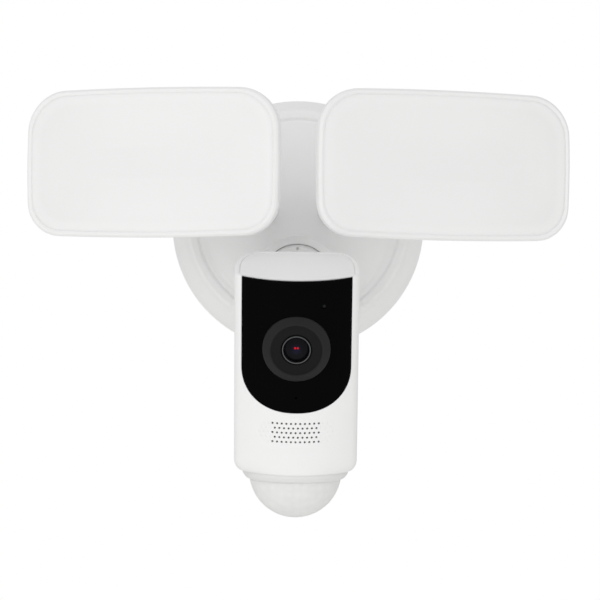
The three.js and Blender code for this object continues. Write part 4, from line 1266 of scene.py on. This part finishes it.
@dataclass
class LampHead:
    """One lamp on its arm. Its outline is a rounded rectangle whose sides bow outwards."""

    name: str
    side: int
    pan: float = 20.0
    socket_tilt: float = -6.1
    socket_pan: float = 32.5
    inboard: float = 22.0
    face: float = -44.0
    back: float = -19.0
    half_width: float = 74.1
    half_height: float = 40.8
    top_corner: float = 21.0
    bottom_corner: float = 17.0
    bow: float = 1.6
    rim: float = 3.0

    def __post_init__(self) -> None:
        """Sets up the stations and who rides on what."""
        place = joint_place(f"lamp_{self.name}_tilt")
        place.x = self.side * abs(place.x)
        self.socket = Maker(Station.at(place, self.socket_tilt, self.side * self.socket_pan), "wall_base")
        tilt = joint_lean(f"lamp_{self.name}_pan")
        self.head = Maker(Station.at(place, tilt, self.side * self.pan), f"lamp_{self.name}_head")

    def outline(self, inset: float, y: float) -> Ring:
        """Outlines the head, with the same number of points at any size.

        Args:
            inset: distance inside the widest outline.
            y: where the ring is on Y.

        Returns:
            The ring.
        """
        w, h = self.half_width - self.bow - inset, self.half_height - self.bow - inset
        corners, steps, between = [], 12, 14
        for quadrant in range(4):
            sign_x, sign_z = (1, -1)[quadrant in (1, 2)], (1, -1)[quadrant > 1]
            widest = self.top_corner if sign_z > 0 else self.bottom_corner
            radius = min(max(widest - 0.6 * inset, 4), h * 0.92)
            for i in range(steps + 1):
                angle = math.radians(90 * (quadrant + i / steps))
                corners.append(Vector((sign_x * (w - radius) + radius * math.cos(angle), y,
                                       sign_z * (h - radius) + radius * math.sin(angle))))
        ring: Ring = []
        for i, point in enumerate(corners):
            ring.append(point)
            if i % (steps + 1) == steps:
                ahead = corners[(i + 1) % len(corners)]
                ring += [point.lerp(ahead, k / between) for k in range(1, between)]
        return [Vector((
            self.side * self.inboard + p.x + math.copysign(self.bow, p.x) * (1 - (p.z / h) ** 2),
            y, p.z + math.copysign(self.bow, p.z) * (1 - (p.x / w) ** 2))) for p in ring]

    def loft(self, section: Profile, steps: int = 5, loop: bool = False) -> Blank:
        """Runs a section of (inset, y) or (inset, y, rounding) round the outline."""
        return Blank.from_rings([self.outline(a, b) for a, b in rounded(section, steps, loop)], loop)

    def arm(self) -> None:
        """Arm: a neck out of the hub that swells to the ball's cup."""
        cup_radius, station = LAMP_JOINT.cup, self.socket.station
        cup = Blank.turned([
            (cup_radius - 0.2, 0.3, 0.2), (cup_radius, 0.8, 0.4), (cup_radius, 6, 5),
            (cup_radius - 2.6, 12, 6), (11, 17.6, 5), (0, 18.6), (0, 0.3),
        ], 96)
        root, near = station.local(arm_root(self.side, 4)), station.local(arm_root(self.side, 0)) * 0.2
        neck = Blank.bar(root, near, 8.6, 96)
        passage = Blank.bar(root * 1.2, Vector((0, 0, 0)), 5, 48)
        seat = Blank.turned([*arc(LAMP_JOINT.seat, 0, 0, 180, 36)], 96)
        self.socket.piece(cup.joined(neck).cut(passage, seat), f"lamp_{self.name}_arm_moulding",
                          Finishes.WHITE_ABS, [f"lamp_{self.name}_arm"])
        self.socket.piece(LAMP_JOINT.ring(), f"lamp_{self.name}_ring", Finishes.WHITE_ABS,
                          [f"lamp_{self.name}_lock_ring"])

    def housing(self) -> None:
        """Housing: rolled rim bead, short upright side and a back that draws in all round."""
        face, back, rim = self.face, self.back, self.rim
        section = [
            (34, back), (22, back, 5), (14, face + 21.5, 12), (6.5, face + 16, 12), (1.8, face + 10, 10),
            (0, face + 5.5, 8), (0, face + 1.3, 1.6), (1.2, face, 1.6), (rim - 1.2, face, 1.4),
            (rim - 0.1, face + 0.5, 0.25), (rim, face + 1.2, 0.3), (rim, face + 3.4, 0.2),
            (rim + 1.2, face + 3.4), (rim + 1.2, face + 9.5),
            (9.5, face + 16, 4), (20, back - 2.6, 3), (34, back - 2.6),
        ]
        shell = self.loft(section, 6).cut(Blank.rod(3.2, back - 5, back + 2))
        self.head.piece(shell, f"lamp_{self.name}_shell", Finishes.WHITE_ABS,
                        [f"lamp_{self.name}_housing"], 42)
        stem = LAMP_JOINT.ball_and_stem(-back - 0.35, 13, 2.4)
        self.head.piece(stem, f"lamp_{self.name}_stem", Finishes.WHITE_ABS, [f"lamp_{self.name}_ball_stem"])

    def diffuser(self) -> None:
        """Opal lid: narrow raised border, then a dish that deepens gently to its middle."""
        rim, border, deep = self.rim, self.face + 0.28, 1.37
        edge = rounded([(30, self.face + 2.75), (rim + 0.03, self.face + 2.75, 0.2),
                        (rim + 0.03, self.face + 1.2), (rim - 0.14, self.face + 0.5),
                        (rim + 1.0, border, 1.4), (rim + 1.9, border)], 6, loop=False)
        dish = [(rim + 1.9 + 26.7 * share, border + deep * (1 - math.cos(math.pi * share)) / 2)
                for share in [i / 28 for i in range(1, 29)]]
        lid = Blank.from_rings([self.outline(a, b) for a, b in [*edge, *dish]])
        # Painted shade and highlight: the border is left bright all round as a painted highlight, and the dish
        # is painted darker towards the ends, most of all outboard, and towards top and bottom.
        tone = lid.mesh.attributes.new("painted_shade_tone", "FLOAT", "POINT")
        for i, vertex in enumerate(lid.mesh.vertices):
            across = self.side * (vertex.co.x - self.side * self.inboard) / self.half_width
            up = vertex.co.z / self.half_height
            away = 0.08 + 0.5 * max(across, 0) ** 2 + 0.2 * across ** 2 + 0.3 * up ** 2
            inside = min(max((vertex.co.y - border) / (0.06 * deep), 0), 1)
            tone.data[i].value = max(0.0, 1 - away * (0.55 + 0.45 * inside))
        self.head.piece(lid, f"lamp_{self.name}_opal_lid", Finishes.OPAL, [f"lamp_{self.name}_diffuser"])

    def build(self) -> None:
        """Makes every piece of the lamp."""
        self.arm()
        self.housing()
        self.diffuser()


# ------------------------------------------------------------------------------------------------
# Camera head
# ------------------------------------------------------------------------------------------------

@dataclass
class CameraHead:
    """Case, panel, lens, controls and motion sensor. Its station is the middle of the case."""

    half_width: float = 33.0
    front: float = 29.0
    back: float = 29.0
    front_radius: float = 50.0
    corner: float = 8.3
    back_half_width: float = 21.0
    back_corner: float = 30.0
    top: float = 53.5
    base: float = -61.0
    slope: float = 13.0
    split: float = -3.0
    wall: float = 2.6
    level_gap: float = 100 / 12
    ball_back: float = -BALL_TO_CASE.y
    ball_up: float = -BALL_TO_CASE.z
    collar: float = 28.9
    dome: float = 25.0
    dome_centre: float = 1.2
    gap: float = 0.35
    lens_z: float = LENS_RISE
    light: tuple[float, float] = (14.2, 39.1)
    microphone_z: float = -10.7
    cover_z: float = -34.0
    reset_z: float = -9.0
    lens_front: float = -31.2
    lens_hole: float = 18.05
    panel_half: float = 28.9
    panel_thick: float = 1.1
    foot_z: float = 4.8
    foot_drop: float = 24.0
    foot_power: float = 2.32

    def __post_init__(self) -> None:
        """Sets up the stations and who rides on what."""
        station = Station.at(CASE_MIDDLE, CASE_TILT)
        self.case = Maker(station, "camera_head")
        self.key = Maker(station, "reset_key")
        self.socket = Maker(Station.at(CAMERA_BALL, SOCKET_TILT), "wall_base")
        self.stem = Maker(station.child(Vector((0, self.ball_back, self.ball_up)), 0), "camera_head")
        self.underside = Maker(station.child(Vector((0, 0, self.base)), -(90 + self.slope)), "camera_head")

    # Case ---------------------------------------------------------------------------------------

    def forward(self, x: float) -> float:
        """How far forward the front wall's arc stands at x."""
        return self.front - self.front_radius + math.sqrt(self.front_radius ** 2 - x * x)

    def plan(self, inset: float) -> list[tuple[float, float]]:
        """Draws the case's plan: front arc, tight front corners, long rear corners and flat back.

        Args:
            inset: distance inside the outer wall.

        Returns:
            Points as (x, y).
        """
        centre = self.front - self.front_radius
        corner_x = self.half_width - self.corner
        corner_forward = centre + math.sqrt((self.front_radius - self.corner) ** 2 - corner_x ** 2)
        sweep = math.atan2(corner_x, corner_forward - centre)
        half = []
        for i in range(24):
            angle = sweep * i / 24
            reach = self.front_radius - inset
            half.append((reach * math.sin(angle), centre + reach * math.cos(angle)))
        for i in range(11):
            angle = sweep + (math.pi / 2 - sweep) * i / 10
            reach = max(self.corner - inset, 0.5)
            half.append((corner_x + reach * math.sin(angle), corner_forward + reach * math.cos(angle)))
        rear_x = self.half_width - self.back_half_width - inset
        rear_forward = self.back_corner - self.back
        for i in range(1, 25):
            angle = math.pi / 2 * i / 24
            half.append((self.back_half_width + rear_x * math.cos(angle),
                         rear_forward - (self.back_corner - inset) * math.sin(angle)))
        half += [(self.back_half_width * (1 - i / 7), inset - self.back) for i in range(1, 8)]
        mirrored = [(-x, y) for x, y in half[-2:0:-1]]
        return [(x, -y) for x, y in half + mirrored]

    def ring(self, inset: float, z: float) -> Ring:
        """One level ring of the case."""
        return [Vector((x, y, z)) for x, y in self.plan(inset)]

    def underside_ring(self, inset: float, roll: float, lift: float) -> Ring:
        """Makes one ring of the slanted underside.

        Args:
            inset: distance inside the outer skin.
            roll: 0 at the full plan and 90 at the collar's circle, in degrees.
            lift: how much higher than the outer skin.

        Returns:
            The ring.
        """
        turn = math.radians(roll)
        blend, height = 1 - math.cos(turn), 7.5 * (1 - math.sin(turn))
        ring = []
        for x, y in self.plan(inset):
            scale = 1 + ((self.collar - inset) / math.hypot(x, y) - 1) * blend
            drop = y * scale * math.tan(math.radians(self.slope))
            ring.append(Vector((x * scale, y * scale, self.base + height + lift - drop)))
        return ring

    def shell(self) -> Blank:
        """Hollow case with a softly rolled top lip and a wide open top."""
        lower_out = [self.underside_ring(0, roll, 0) for roll in range(0, 91, 6)]
        lower_in = [self.underside_ring(self.wall, roll, self.wall) for roll in range(90, -1, -10)]
        roll = rounded([(self.wall, self.top - 12), (self.wall, self.top, 0.5), (0, self.top, 1.2),
                        (0, self.top - 12)], 6, loop=False)
        lip = [self.ring(inset, z) for inset, z in roll[1:-1]]
        wall = [self.ring(0, self.top - 1.3 - self.level_gap * i) for i in range(1, 11)]
        return Blank.from_rings([*lower_in, *lip, *wall, *lower_out])

    def dome_opening(self) -> Blank:
        """The hole that the motion sensor's dome comes through."""
        hole = Blank.rod(self.dome + self.gap, -12, 12, sides=96)
        return hole.moved(self.case.station.matrix.inverted() @ self.underside.station.matrix)

    def panel_edges(self, x: float, grow: float, top: float) -> tuple[float, float]:
        """Finds where the front panel's outline is at x.

        Args:
            x: distance from its middle.
            grow: how much larger than the panel.
            top: its highest Z.

        Returns:
            The lowest and highest Z.
        """
        share = min(abs(x) / (self.panel_half + grow), 1.0)
        low = self.foot_z - (self.foot_drop + grow) * (1 - share ** self.foot_power) ** (1 / self.foot_power)
        return low, top

    def front_slab(self, grow: float, near: float, far: float, top: float) -> Blank:
        """A slab of the front wall inside the panel's outline.

        Args:
            grow: how much larger than the panel.
            near: where its front is, ahead of the front wall.
            far: where its back is, behind the front wall.
            top: its highest Z.

        Returns:
            The blank.
        """
        half, columns, rows = self.panel_half + grow, 72, 40
        made = bmesh.new()
        faces = []
        for shift in (-near, far):
            grid = []
            for i in range(columns + 1):
                x = half * math.sin(math.pi * (i / columns - 0.5))
                low, high = self.panel_edges(x, grow, top)
                grid.append([made.verts.new((x, shift - self.forward(x), low + (high - low) * k / rows))
                             for k in range(rows + 1)])
            for i in range(columns):
                for k in range(rows):
                    made.faces.new((grid[i][k], grid[i + 1][k], grid[i + 1][k + 1], grid[i][k + 1]))
            faces.append(grid)
        first, second = faces
        edge = [(i, 0) for i in range(columns)] + [(columns, k) for k in range(rows)]
        edge += [(i, rows) for i in range(columns, 0, -1)] + [(0, k) for k in range(rows, 0, -1)]
        for (i, k), (m, n) in zip(edge, edge[1:] + edge[:1]):
            made.faces.new((first[i][k], first[m][n], second[m][n], second[i][k]))
        return Blank.from_bmesh(made)

    def front_shell(self) -> None:
        """Front half: panel recess, lens and sound openings, and the loudspeaker's perforations."""
        half = Blank.block((90, 60, 160), (0, self.split - self.gap / 2 - 30, 0))
        shell = self.shell().combined(Boolean.KEEP, half)
        recess = self.front_slab(0.25, 3, self.panel_thick + 0.3, self.top + 3)
        light_x, light_z = self.light
        shell = shell.cut(
            recess, self.dome_opening(), Blank.rod(self.lens_hole + 0.65, -8, -40, 0, self.lens_z, 96),
            Blank.rod(1.55, -8, -40, light_x, light_z, 24), Blank.rod(1.1, -8, -40, 0, self.microphone_z, 24))
        shell = shell.cut(PerforationField("loudspeaker perforations").blank())
        self.case.piece(shell, "case_front", Finishes.WHITE_ABS, ["camera_front_shell"], 30)

    def rear_hole(self, radius: float, x: float, z: float, depth: float = 5, sides: int = 32) -> Blank:
        """Cutter for a round hole from behind, to a depth below the case's back."""
        return Blank.rod(radius, self.back - depth, self.back + 2, x, z, sides)

    def rear_shell(self) -> None:
        """Rear half: seats for the service cover, reset key and screws."""
        half = Blank.block((90, 60, 160), (0, self.split + self.gap / 2 + 30, 0))
        shell = self.shell().combined(Boolean.KEEP, half)
        back = self.back
        tools = [
            self.dome_opening(), self.rear_hole(3.5, 0, self.ball_up, sides=48),
            Blank.plate((15.35, 11.85), 3.1, (back - 2.15, back + 2), 0.05, (0, self.cover_z)),
            Blank.block((18, 12, 8), (0, back, self.cover_z)), self.rear_hole(2.95, 0, self.reset_z, sides=48)]
        for side in (-1, 1):
            tools += [self.rear_hole(1.8, side * 11.5, self.cover_z),
                      self.rear_hole(1.8, side * 15, self.ball_up + 15),
                      self.rear_hole(3.1, side * 15, self.ball_up + 15, 1.1, 48)]
        self.case.piece(shell.cut(*tools), "case_rear", Finishes.WHITE_ABS, ["camera_rear_shell"], 30)

    def top_cap(self) -> None:
        """Lid set inside the case's lip, softly rounded at its edge."""
        inset, top = self.wall + 0.04, self.top
        section = rounded([(inset + 8, top - 3.2), (inset, top - 3.2, 0.2), (inset, top - 0.62),
                           (inset + 0.3, top - 0.38, 0.3), (inset + 8, top - 0.36)], 5, loop=False)
        self.case.piece(Blank.from_rings([self.ring(a, b) for a, b in section]), "case_top_lid",
                        Finishes.WHITE_ABS, ["camera_top_cap"])

    def panel(self) -> None:
        """Glossy panel flush in its recess, with holes for the lens, the status light and the microphone."""
        sheet = self.front_slab(0, 0, self.panel_thick, self.top - 0.45)
        light_x, light_z = self.light
        sheet = sheet.cut(Blank.rod(self.lens_hole, -8, -40, 0, self.lens_z, 96),
                          Blank.rod(1.24, -8, -40, light_x, light_z, 24),
                          Blank.rod(0.6, -8, -40, 0, self.microphone_z, 24))
        self.case.piece(sheet, "acrylic_front_panel", Finishes.ACRYLIC, ["front_panel"], 40)

    # Lens ---------------------------------------------------------------------------------------

    def lens(self) -> None:
        """Lens surround, barrel, silver ring and glass."""
        place = Matrix.Translation((0, 0, self.lens_z))
        front = self.lens_front
        bezel = Blank.turned([
            (17.9, -23, 0.2), (17.9, front + 2.6, 0.4), (17.4, front + 2.1, 0.3), (14.5, front, 0.5),
            (13.9, front, 0.5), (13.2, front + 0.55, 0.6), (8.5, front + 1.0, 0.3), (8.05, front + 1.4, 0.2),
            (8.05, -23, 0.2)], 160)
        self.case.piece(bezel.moved(place), "lens_surround", Finishes.TURNED_ABS_LIT_AND_SHADED, ["lens_bezel"])
        barrel = Blank.turned([
            (7.7, front + 2.6, 0.2), (7.7, -22.6), (10, -22.6, 0.3), (10, -6.6, 0.3), (5.4, -6.6, 0.2),
            (5.4, -27.2), (6.7, -27.2), (6.7, front + 2.6, 0.2)], 96)
        self.case.piece(barrel.moved(place), "lens_tube", Finishes.BLACK_ABS, ["lens_barrel"])
        trim = Blank.turned([(7.6, front + 2.2, 0.1), (7.6, front + 0.9, 0.25), (7.05, front + 0.9, 0.25),
                             (6.5, front + 2.2, 0.1)], 128)
        self.case.piece(trim.moved(place), "lens_ring", Finishes.ALUMINIUM, ["lens_trim_ring"])
        apex, curve = front + 1.5, 17.0
        edge = math.degrees(math.asin(6.2 / curve))
        glass = Blank.turned([*arc(curve, apex + curve, 180, 180 - edge, 24), (6.2, -27.5, 0.2),
                              (0, -27.5)], 96)
        self.case.piece(glass.moved(place), "lens_glass_front", Finishes.LENS, ["front_lens"])

    # Small parts --------------------------------------------------------------------------------

    def small_parts(self) -> None:
        """Light pipe, service cover, reset key and screws."""
        light_x, light_z = self.light
        pipe = Blank.turned([(0, -26.3), (0.6, -26.35, 0.5), (1.2, -26.1, 0.3), (1.2, -12, 0.2), (0, -12)], 32)
        pipe = pipe.moved(Matrix.Translation((light_x, 0, light_z)))
        self.case.piece(pipe, "status_light", Finishes.LIGHT_PIPE, ["status_light_pipe"])
        back = self.back
        door = Blank.plate((15, 11.5), 2.8, (back - 1.8, back), 0.35, (0, self.cover_z))
        tools = [Blank.plate((4, 0.6), 0.55, (back - 0.5, back + 1), 0.05, (0, self.cover_z - 8.5))]
        for side in (-1, 1):
            tools += [Blank.rod(1.8, 20, 32, side * 11.5, self.cover_z, 32),
                      Blank.rod(2.9, back - 0.9, 32, side * 11.5, self.cover_z, 48)]
        self.case.piece(door.cut(*tools), "service_door", Finishes.SILICONE, ["service_cover"])
        for name, side in (("left", -1), ("right", 1)):
            for kind, x, z, head_y, head, length in (
                    ("service", 11.5, self.cover_z, back + 0.05, 2.5, 6), ("case", 15, self.ball_up + 15,
                                                                          back - 0.1, 2.7, 14)):
                self.screw(f"{kind}_screw_{name}", side * x, z, head_y, head, length)
        flange_y = back - self.wall - 0.4
        key = Blank.turned([
            (0, back + 0.8), (1.4, back + 0.8, 1.5), (2.2, back + 1.0, 0.6), (2.6, back + 0.5, 0.3),
            (2.6, flange_y), (4.2, flange_y, 0.2), (4.2, flange_y - 1.2, 0.2), (1.2, flange_y - 1.2),
            (1.2, flange_y - 6, 0.3),
            (0, flange_y - 6)], 64)
        key = key.moved(Matrix.Translation((0, 0, self.reset_z)))
        self.key.piece(key, "reset_key_cap", Finishes.SILICONE, ["reset_button"])

    def screw(self, node: str, x: float, z: float, head_y: float, head: float, length: float) -> None:
        """Small cross-head screw seen from behind.

        Args:
            node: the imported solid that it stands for.
            x: its X.
            z: its Z.
            head_y: Y of its head's outer face.
            head: its head's radius.
            length: how far it reaches in from that face.
        """
        turned = Blank.turned([
            (0, head_y), (head * 0.6, head_y, 1.5), (head, head_y - 0.25, 0.3), (head, head_y - 0.6, 0.1),
            (1.3, head_y - 0.6), (1.3, head_y - length, 0.3), (0, head_y - length)], 48)
        turned = turned.moved(Matrix.Translation((x, 0, z)))
        turned = turned.cut(Blank.block((0.6, 0.6, head * 1.2), (x, head_y, z)),
                            Blank.block((head * 1.2, 0.6, 0.6), (x, head_y, z)))
        self.case.piece(turned, f"{node}_turned", Finishes.STEEL, [node])

    # Joint and sensor ---------------------------------------------------------------------------

    def ball_joint(self) -> None:
        """Socket, lock ring and the stem on the case's back."""
        seat, cup = CAMERA_JOINT.seat, CAMERA_JOINT.cup
        socket = Blank.turned([
            (cup, 0.3, 0.2), (cup, 3, 2), (17.8, 9, 5), (13.5, 16.5, 4), (6.6, 18.6, 0.6),
            *arc(seat, 0, 22, 89, 16)], 96)
        self.socket.piece(socket, "camera_socket_moulding", Finishes.WHITE_ABS, ["camera_socket"])
        self.socket.piece(CAMERA_JOINT.ring(), "camera_ring", Finishes.WHITE_ABS, ["camera_lock_ring"])
        stem = CAMERA_JOINT.ball_and_stem(self.ball_back - self.back - self.gap, 12, 3)
        self.stem.piece(stem, "camera_stem", Finishes.WHITE_ABS, ["camera_ball_stem"])

    def motion_sensor(self) -> None:
        """Collar and cloudy dome under the case."""
        collar = Blank.turned([
            (self.collar - 0.1, 0.02, 0.1), (28.6, 1.8, 3), (27.1, 3.8, 1), (26.5, 4.3, 0.3),
            (self.dome + 0.15, 4.3, 0.1), (self.dome + 0.15, 0.02, 0.1)], 160)
        # The collar's greyer white is painted shade.
        self.underside.piece(collar, "sensor_collar", Finishes.COLLAR_ABS_PAINTED_SHADE, ["motion_sensor_collar"])
        flange = -self.wall - self.gap
        dome = Blank.turned([
            *arc(self.dome, self.dome_centre, 0, 90, 40), (self.dome, flange), (self.dome + 0.9, flange, 0.2),
            (self.dome + 0.9, flange - 1.2, 0.2), (self.dome - 1.2, flange - 1.2),
            *arc(self.dome - 1.2, self.dome_centre, 90, 0, 32)], 128)
        self.underside.piece(dome, "sensor_dome", Finishes.DOME, ["motion_sensor_lens"])

    def build(self) -> None:
        """Makes every piece of the camera head."""
        self.front_shell()
        self.rear_shell()
        self.top_cap()
        self.panel()
        self.lens()
        self.small_parts()
        self.ball_joint()
        self.motion_sensor()


# ------------------------------------------------------------------------------------------------
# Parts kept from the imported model
# ------------------------------------------------------------------------------------------------

KEPT_NODES: dict[Finishes, tuple[str, ...]] = {
    Finishes.GREEN_BOARD: ("driver_board", "image_sensor_board", "main_board", "motion_sensor_board"),
    Finishes.TAPE: ("transformer",),
    Finishes.SLEEVE: ("bulk_capacitor",),
    Finishes.POLYAMIDE: ("terminal_block",),
    Finishes.ACETAL: ("camera_friction_liner", "lamp_left_friction_liner", "lamp_right_friction_liner"),
    Finishes.EPDM: ("lamp_left_gasket", "lamp_right_gasket", "camera_case_seal", "microphone_seal"),
    Finishes.REFLECTOR: ("lamp_left_reflector", "lamp_right_reflector"),
    Finishes.LED_BOARD: ("lamp_left_led_board", "lamp_right_led_board"),
    Finishes.LENS: ("inner_lens",),
    Finishes.BLACK_ABS: ("speaker",),
    Finishes.STEEL: ("card_slot", "motion_sensor_element"),
}


def dress_kept_nodes() -> None:
    """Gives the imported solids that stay, all of them inside the object, their finishes."""
    for finish, names in KEPT_NODES.items():
        for name in names:
            for holder in frame["nodes"][name].material_slots:
                holder.material = finish.value.material()
            log.info("%s: kept, in %s", name, finish.value.name)


# ------------------------------------------------------------------------------------------------
# Studio
# ------------------------------------------------------------------------------------------------

@dataclass(frozen=True)
class Softbox:
    """A rectangular area light that looks at the object."""

    name: str
    place: tuple[float, float, float]
    size: float
    watts: float

    def build(self) -> None:
        """Makes the light, aims it, and keeps it out of reflections."""
        lamp = bpy.data.lights.new(self.name, "AREA")
        lamp.shape, lamp.size, lamp.energy = "SQUARE", self.size, self.watts
        host = bpy.data.objects.new(self.name, lamp)
        host.location = self.place
        aim = Vector((0, -0.08, -0.05)) - Vector(self.place)
        host.rotation_euler = aim.to_track_quat("-Z", "Y").to_euler()
        host.visible_glossy = False
        bpy.context.scene.collection.objects.link(host)


@dataclass(frozen=True)
class Studio:
    """Camera, soft lights, pale surroundings and a pale floor."""

    target: tuple[float, float, float] = (1.6, -80.0, -53.4)
    distance: float = 1500.0
    elevation: float = -7.0
    roll: float = 0.6
    focal: float = 162.6
    floor_z: float = -1.6
    ambient: float = 0.69
    boxes: tuple[Softbox, ...] = field(default_factory=lambda: (
        Softbox("front left softbox", (-1.2, -2.6, 0.5), 1.5, 12.6),
        Softbox("left softbox", (-2.2, -1.2, 0.5), 1.5, 4.2),
        Softbox("right softbox", (2.2, -1.6, 0.6), 1.5, 5.0),
        Softbox("low softbox", (0.0, -1.6, -1.4), 1.5, 9.5),
        Softbox("back softbox", (0.0, 2.2, 1.6), 1.8, 15.0),
    ))

    def camera(self) -> None:
        """Makes the camera and points it slightly upwards at the object."""
        lens = bpy.data.cameras.new("studio camera")
        lens.sensor_width, lens.lens = 36.0, self.focal
        lens.clip_start, lens.clip_end = 0.05, 60
        host = bpy.data.objects.new("studio camera", lens)
        bpy.context.scene.collection.objects.link(host)
        rise = math.radians(self.elevation)
        place = Vector(self.target) - self.distance * Vector((0, math.cos(rise), -math.sin(rise)))
        turn = Matrix.Rotation(math.pi / 2 - rise, 4, "X") @ Matrix.Rotation(math.radians(self.roll), 4, "Z")
        host.matrix_world = Matrix.Translation(place * MM) @ turn
        bpy.context.scene.camera = host

    def surroundings(self) -> None:
        """Makes the floor and a pale surround that looks pure white behind the object."""
        made = bmesh.new()
        bmesh.ops.create_grid(made, x_segments=2, y_segments=2, size=14)
        mesh = bpy.data.meshes.new("studio floor")
        made.to_mesh(mesh)
        made.free()
        floor = bpy.data.objects.new("studio_floor", mesh)
        floor.location.z = self.floor_z
        mesh.materials.append(Finish("matt studio paint", "", "#f4f4f2", 0.8, grain=3.0, bump=0.02,
                                     relief=0.3).material())
        bpy.context.scene.collection.objects.link(floor)
        world = bpy.data.worlds.new("studio surround")
        bpy.context.scene.world = world
        world.use_nodes = True
        tree = world.node_tree
        tree.nodes.clear()
        soft = add_node(tree, "ShaderNodeBackground", inputs={"Color": linear("#ffffff"),
                                                              "Strength": self.ambient})
        white = add_node(tree, "ShaderNodeBackground", inputs={"Color": linear("#ffffff"), "Strength": 1.0})
        path = add_node(tree, "ShaderNodeLightPath")
        mix = add_node(tree, "ShaderNodeMixShader", inputs={
            0: path.outputs["Is Camera Ray"], 1: soft.outputs["Background"], 2: white.outputs["Background"]})
        add_node(tree, "ShaderNodeOutputWorld", inputs={"Surface": mix.outputs["Shader"]})
        bpy.context.scene.view_settings.view_transform = "Standard"

    def build(self) -> None:
        """Sets up the whole studio."""
        self.camera()
        self.surroundings()
        for box in self.boxes:
            box.build()


def main() -> None:
    """Builds the studio and every sub-assembly in order."""
    logging.basicConfig(level=logging.INFO, format="%(message)s")
    Studio().build()
    base = Maker(Station(Matrix.Identity(4)), "wall_base")
    WallBase(base).build()
    Hub(base).build()
    for name, side in (("left", -1), ("right", 1)):
        LampHead(name, side).build()
    CameraHead().build()
    dress_kept_nodes()


if __name__ == "__main__":
    main()
